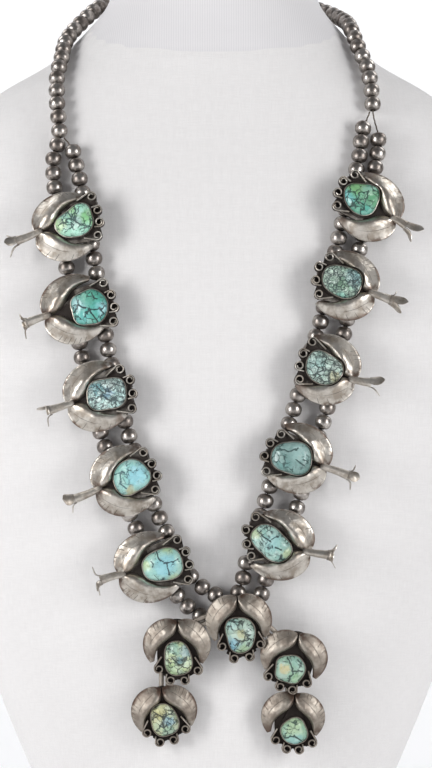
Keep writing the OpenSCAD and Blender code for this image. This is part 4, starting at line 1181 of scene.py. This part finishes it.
def beadTree(bead):
    # one bead on each point, its axis along the thread, rolled and sized a little at random
    g = Maker("beadsOnThread", {"Smallest": ("Float", beadLook["smallest"]),
                                "Largest": ("Float", beadLook["largest"]),
                                "Seed": ("Int", beadLook["seed"])})
    way = g.node("GeometryNodeInputNamedAttribute", {"data_type": "FLOAT_VECTOR"}, {"Name": "way"},
                 "Attribute")
    aim = g.node("FunctionNodeAlignRotationToVector", {"axis": "Z"}, {"Vector": way}, "Rotation")
    cup = g.node("GeometryNodeObjectInfo", None, {"Object": bead}, "Geometry")
    size = g.node("FunctionNodeRandomValue", None,
                  {2: g.given("Smallest"), 3: g.given("Largest"), "Seed": g.given("Seed")}, 1)
    put = g.node("GeometryNodeInstanceOnPoints", None, {
        "Points": g.given("Geometry"), "Instance": cup, "Rotation": aim, "Scale": size}, "Instances")
    roll = g.node("FunctionNodeRandomValue", None, {3: 2 * math.pi, "Seed": g.given("Seed")}, 1)
    spin = g.node("ShaderNodeCombineXYZ", None, {2: roll})
    turned = g.node("GeometryNodeRotateInstances", None, {"Instances": put, "Rotation": spin})
    return g.end(turned, bead.data.materials[0])


def applied(piece, name):
    # the evaluated result as a plain mesh on an object of its own
    depsgraph = bpy.context.evaluated_depsgraph_get()
    mesh = bpy.data.meshes.new_from_object(piece.evaluated_get(depsgraph))
    mesh.name = name
    piece.modifiers.clear()
    bpy.data.objects.remove(piece)
    return inScene(name, mesh)


def makeBeads():
    bead = beadMesh(agedSilver("beadSilver", silverLooks["beads"]))
    tree = beadTree(bead)
    reach = claspLook["half"]
    strings = {
        "neck_beads_left": (outer, outer.beadsIn(reach + beadSize["gap"], forkLeft)),
        "neck_beads_right": (outer, outer.beadsIn(outer.length - reach - beadSize["gap"], forkRight))}
    for name, strand, side, start in (
            ("strand_outer_left", outer, "left", forkLeft + forkRoom["left"][0]),
            ("strand_outer_right", outer, "right", forkRight - forkRoom["right"][0]),
            ("strand_inner_left", inner, "left", forkRoom["left"][1]),
            ("strand_inner_right", inner, "right", inner.length - forkRoom["right"][1])):
        strings[name] = (strand, strand.beadsFrom(start, sideEyes(strand, side)))
    for seed, (name, (strand, stops)) in enumerate(strings.items()):
        mesh = bpy.data.meshes.new(name + "_points")
        mesh.from_pydata([tuple(strand.at(s) * mm) for s in stops], [], [])
        way = mesh.attributes.new("way", "FLOAT_VECTOR", "POINT")
        way.data.foreach_set("vector", np.array([strand.along(s) for s in stops]).ravel())
        points = inScene(name + "_points", mesh)
        modifier = points.modifiers.new("beads", "NODES")
        modifier.node_group = tree
        socket = next(i for i in tree.interface.items_tree if i.name == "Seed")
        modifier[socket.identifier] = beadLook["seed"] + seed
        finishPiece(applied(points, name + "_cups"), "silver", name)
    bpy.data.objects.remove(bead)
    print("beads strung")


threadLook = {"radius": 0.4, "waist": 0.29, "plies": 3, "lay": 2.6, "step": 0.7, "endInClasp": 1.5}


def threadTree(material):
    # a lobed section swept along the path and twisted as plies are laid
    inputs = {name: ("Float", threadLook[name] * mm) for name in ("radius", "waist", "lay")}
    g = Maker("laidThread", {**inputs, "plies": ("Int", threadLook["plies"])})
    path = g.node("GeometryNodeMeshToCurve", None, {"Mesh": g.given("Geometry")}, "Curve")
    run = g.node("GeometryNodeSplineParameter", output="Length")
    turns = run / g.given("lay") * (2 * math.pi / threadLook["plies"])
    twist = g.node("GeometryNodeSetCurveTilt", None, {"Curve": path, "Tilt": turns}, "Curve")
    section = g.node("GeometryNodeCurveStar", None, {
        "Points": g.given("plies"), "Inner Radius": g.given("waist"),
        "Outer Radius": g.given("radius")}, "Curve")
    swept = g.node("GeometryNodeCurveToMesh", None,
                   {"Fill Caps": True, "Curve": twist, "Profile Curve": section}, "Mesh")
    smooth = g.node("GeometryNodeSetShadeSmooth", None, {"Geometry": swept}, "Geometry")
    return g.end(smooth, material)


def makeThreads():
    tree = threadTree(waxedThread())
    for name, strand, spare in (("thread_outer", outer, threadLook["endInClasp"]),
                                ("thread_inner", inner, 0)):
        n = int((strand.length - 2 * spare) / threadLook["step"])
        path = [strand.at(spare + (strand.length - 2 * spare) * k / n) * mm for k in range(n + 1)]
        mesh = bpy.data.meshes.new(name + "_path")
        mesh.from_pydata(path, [(k, k + 1) for k in range(n)], [])
        run = inScene(name + "_path", mesh)
        run.modifiers.new("laid", "NODES").node_group = tree
        finishPiece(applied(run, name + "_laid"), "thread", name)
    print("threads laid")


seedLook = {"blossom": (1.0, 1.37), "pendant": (20, 1.7), "pendantStone": (30, 2.3)}  # first and step


def makeBlossoms(leafSilver):
    seed, step = seedLook["blossom"]
    for side in ("left", "right"):
        for k, row in enumerate(blossomRows[side]):
            place = blossomPlace(row, side, k)
            heap = Heap()
            addFlower(heap, stoneRows[side][k], (1, 1), seed, "blossom")
            addStem(heap, row.stem, row.droop, side, petalRows[side][k], seed)
            for strand in (outer, inner):
                addEye(heap, place.local(eyePoint(strand, side, k)), plateThick / 2)
            piece = heap.build(f"blossom_{side}_{k + 1}_wrought", leafSilver, place)
            finishPiece(piece, "silver", f"blossom_{side}_{k + 1}")
            makeStone(f"stone_{side}_{k + 1}", stoneRows[side][k], place, seed)
            seed += step
    print("blossoms made")


def addWire(heap, radius, naja):
    r = najaSize["wire"] / 2
    path = [(-radius, -najaSize["leg"] * (1 - t), r) for t in np.linspace(0, 0.98, 10)]
    path += [(-radius * math.cos(math.pi * t), radius * math.sin(math.pi * t), r)
             for t in np.linspace(0, 1, 60)]
    path += [(radius, -najaSize["leg"] * t, r) for t in np.linspace(0.02, 1, 10)]
    path = np.array(path)
    up = np.array([0, 0, 1.0])
    rings = []
    for p, t in zip(path, waysAlong(path)):
        side = np.array([t[1], -t[0], 0])
        rings.append([p + side * r * math.cos(a) + up * r * signedPow(math.sin(a), 0.85)
                      for a in np.linspace(0, 2 * math.pi, 15)[:-1]])
    points, faces = closedTube(rings)
    # painted shade on the wire's underside
    low = [0.9 * max(1 - p[2] / (r * 1.6), 0) for p in points]
    heap.add(naja.world(points), faces, low, flip=True)


def makeNaja():
    naja = najaPlace()
    heap = Heap()
    for radius in (najaSize["radius"], najaSize["radius"] - najaSize["wirePitch"]):
        addWire(heap, radius, naja)
    first, step = seedLook["pendant"]
    stoneFirst, stoneStep = seedLook["pendantStone"]
    for k, row in enumerate(najaFlowers):
        place = najaFlowerPlace(naja, row)
        flower = Heap()
        addFlower(flower, stoneRows["naja"][k], (row.long, row.broad), first + step * k, "naja")
        points = place.world(np.vstack(flower.points))
        heap.add(points, flower.faces, np.concatenate(flower.soot), np.vstack(flower.place))
        makeStone(f"naja_stone_{k + 1}", stoneRows["naja"][k], place, stoneFirst + stoneStep * k)
    rise = najaSize["wire"] - najaSize["solder"] + najaFlowers[0].rise + plateThick * 0.8
    for strand in (outer, inner):
        eye = Heap()
        addEye(eye, naja.local(eyePoint(strand, "left", blossomsAside)), rise, True)
        heap.add(naja.world(np.vstack(eye.points)), eye.faces, np.concatenate(eye.soot))
    piece = heap.build("naja_wrought", agedSilver("najaSilver", silverLooks["naja"], True))
    finishPiece(piece, "silver", "naja")
    print("naja made")


claspLook = {"sides": 32, "half": 7.5, "profile": [  # radius and distance from the middle, out to in
    (0.95, 7.1), (1.1, 7.5), (1.9, 7.45), (2.25, 7.0), (2.25, 6.5), (2.0, 6.2), (2.3, 5.6), (2.55, 3.5),
    (2.6, 0.5), (2.35, 0.2)], "grooves": (2.0, 2.35, 0.95)}


def makeClasp(silver):
    # barrel with a turned ring at each end
    halfProfile, sides = claspLook["profile"], claspLook["sides"]
    profile = halfProfile + [(r, -x) for r, x in halfProfile[::-1]]
    centre = outer.points[0]
    # oxide plus painted shade in the grooves and at the holes
    points, soot = [], []
    for r, x in profile:
        for a in anglesRound(sides):
            points.append((centre[0] + x, centre[1] + r * math.cos(a), centre[2] + r * math.sin(a)))
            soot.append(0.6 if r in claspLook["grooves"] else 0.1)
    n, last = len(points), (len(profile) - 1) * sides
    end = profile[0][1]
    points += [(centre[0] + end, centre[1], centre[2]), (centre[0] - end, centre[1], centre[2])]
    soot += [1, 1]
    faces = (gridFaces(len(profile) - 1, sides, 0, True) + fanFaces(sides, 0, n, True)
             + fanFaces(sides, last, n + 1))
    faces = [f[::-1] for f in faces]
    heap = Heap()
    heap.add(points, faces, soot)
    piece = heap.build("clasp_barrel", silver, sharp=30)
    finishPiece(piece, "silver", "clasp")


wrought = agedSilver("wroughtSilver", silverLooks["wrought"], True)
makeBust()
makeBeads()
makeThreads()
makeBlossoms(wrought)
makeNaja()
makeClasp(wrought)


studio = {"cameraDistance": 1.6, "sensor": 36, "nearest": 0.05, "faceY": -0.085, "aim": (0.001, 0.2225),
          "frameHeight": 0.35712, "lamp": (0.95, -0.80, 0.38), "lampSize": (0.40, 0.70),
          "lampPower": (9.8, 8.0), "lampAim": (0, -0.07, 0.23), "wallLamp": (1.1, 0.5, 1.4),
          "wallLampSize": (0.9, 0.9), "wallLampPower": (12, 12), "wallLampAim": (0, 1.6, 0.5),
          "fill": 0.2, "fillColour": (0.93, 0.95, 1.0, 1)}
paperLook = {"front": -2.6, "bend": 0.9, "radius": 0.7, "top": 3.2, "halfWidth": 3.5}


def paleStage():
    # floor that sweeps up into a wall behind the bust
    bend, radius, half = paperLook["bend"], paperLook["radius"], paperLook["halfWidth"]
    rows = [(bend + radius * math.sin(a), radius - radius * math.cos(a))
            for a in np.linspace(0, math.pi / 2, 16)]
    rows = [(paperLook["front"], 0.0)] + rows + [(bend + radius, paperLook["top"])]
    points = [(x, y, z) for y, z in rows for x in (-half, half)]
    mesh = bpy.data.meshes.new("sweep")
    mesh.from_pydata(points, [], gridFaces(len(rows) - 1, 1))
    mesh.shade_smooth()
    # the paper is clear from its back, so that a view from behind isn't blocked by the wall
    f = Finish("palePaper")
    paper = f.feed(colour=paint(250, 250, 251), roughness=0.9)
    shown = f.node("ShaderNodeMixShader", None, {
        0: f.node("ShaderNodeNewGeometry", output="Backfacing"),
        1: Wire(f, f.shader.outputs[0]), 2: f.node("ShaderNodeBsdfTransparent")})
    f.links.new(shown.socket, f.nodes["Material Output"].inputs["Surface"])
    mesh.materials.append(paper)
    sweep = inScene("sweep", mesh)


def addLamp(name, place, size, power, target):
    light = bpy.data.lights.new(name, "AREA")
    light.shape = "RECTANGLE"
    light.size, light.size_y = size
    light.energy = power
    lamp = inScene(name, light)
    lamp.location = place
    lamp.rotation_euler = (Vector(target) - Vector(place)).to_track_quat("-Z", "Y").to_euler()


def makeStudio():
    paleStage()
    for name, lamp in (("softbox", "lamp"), ("backdrop", "wallLamp")):
        x, y, z = studio[lamp]
        for side, way, power in zip(("Left", "Right"), (-1, 1), studio[lamp + "Power"]):
            addLamp(name + side, (way * x, y, z), studio[lamp + "Size"], power, studio[lamp + "Aim"])
    world = bpy.data.worlds.new("room")
    world.use_nodes = True
    back = world.node_tree.nodes["Background"]
    back.inputs["Color"].default_value = studio["fillColour"]
    back.inputs["Strength"].default_value = studio["fill"]
    bpy.context.scene.world = world
    camera = bpy.data.cameras.new("camera")
    camera.sensor_fit = "VERTICAL"
    camera.sensor_height = studio["sensor"]
    camera.lens = studio["sensor"] * studio["cameraDistance"] / studio["frameHeight"]
    camera.clip_start = studio["nearest"]
    eye = inScene("camera", camera)
    eye.location = (studio["aim"][0], studio["faceY"] - studio["cameraDistance"], studio["aim"][1])
    eye.rotation_euler = (math.pi / 2, 0, 0)
    bpy.context.scene.camera = eye
    bpy.context.scene.view_settings.view_transform = "Standard"
    print("studio lit")


makeStudio()
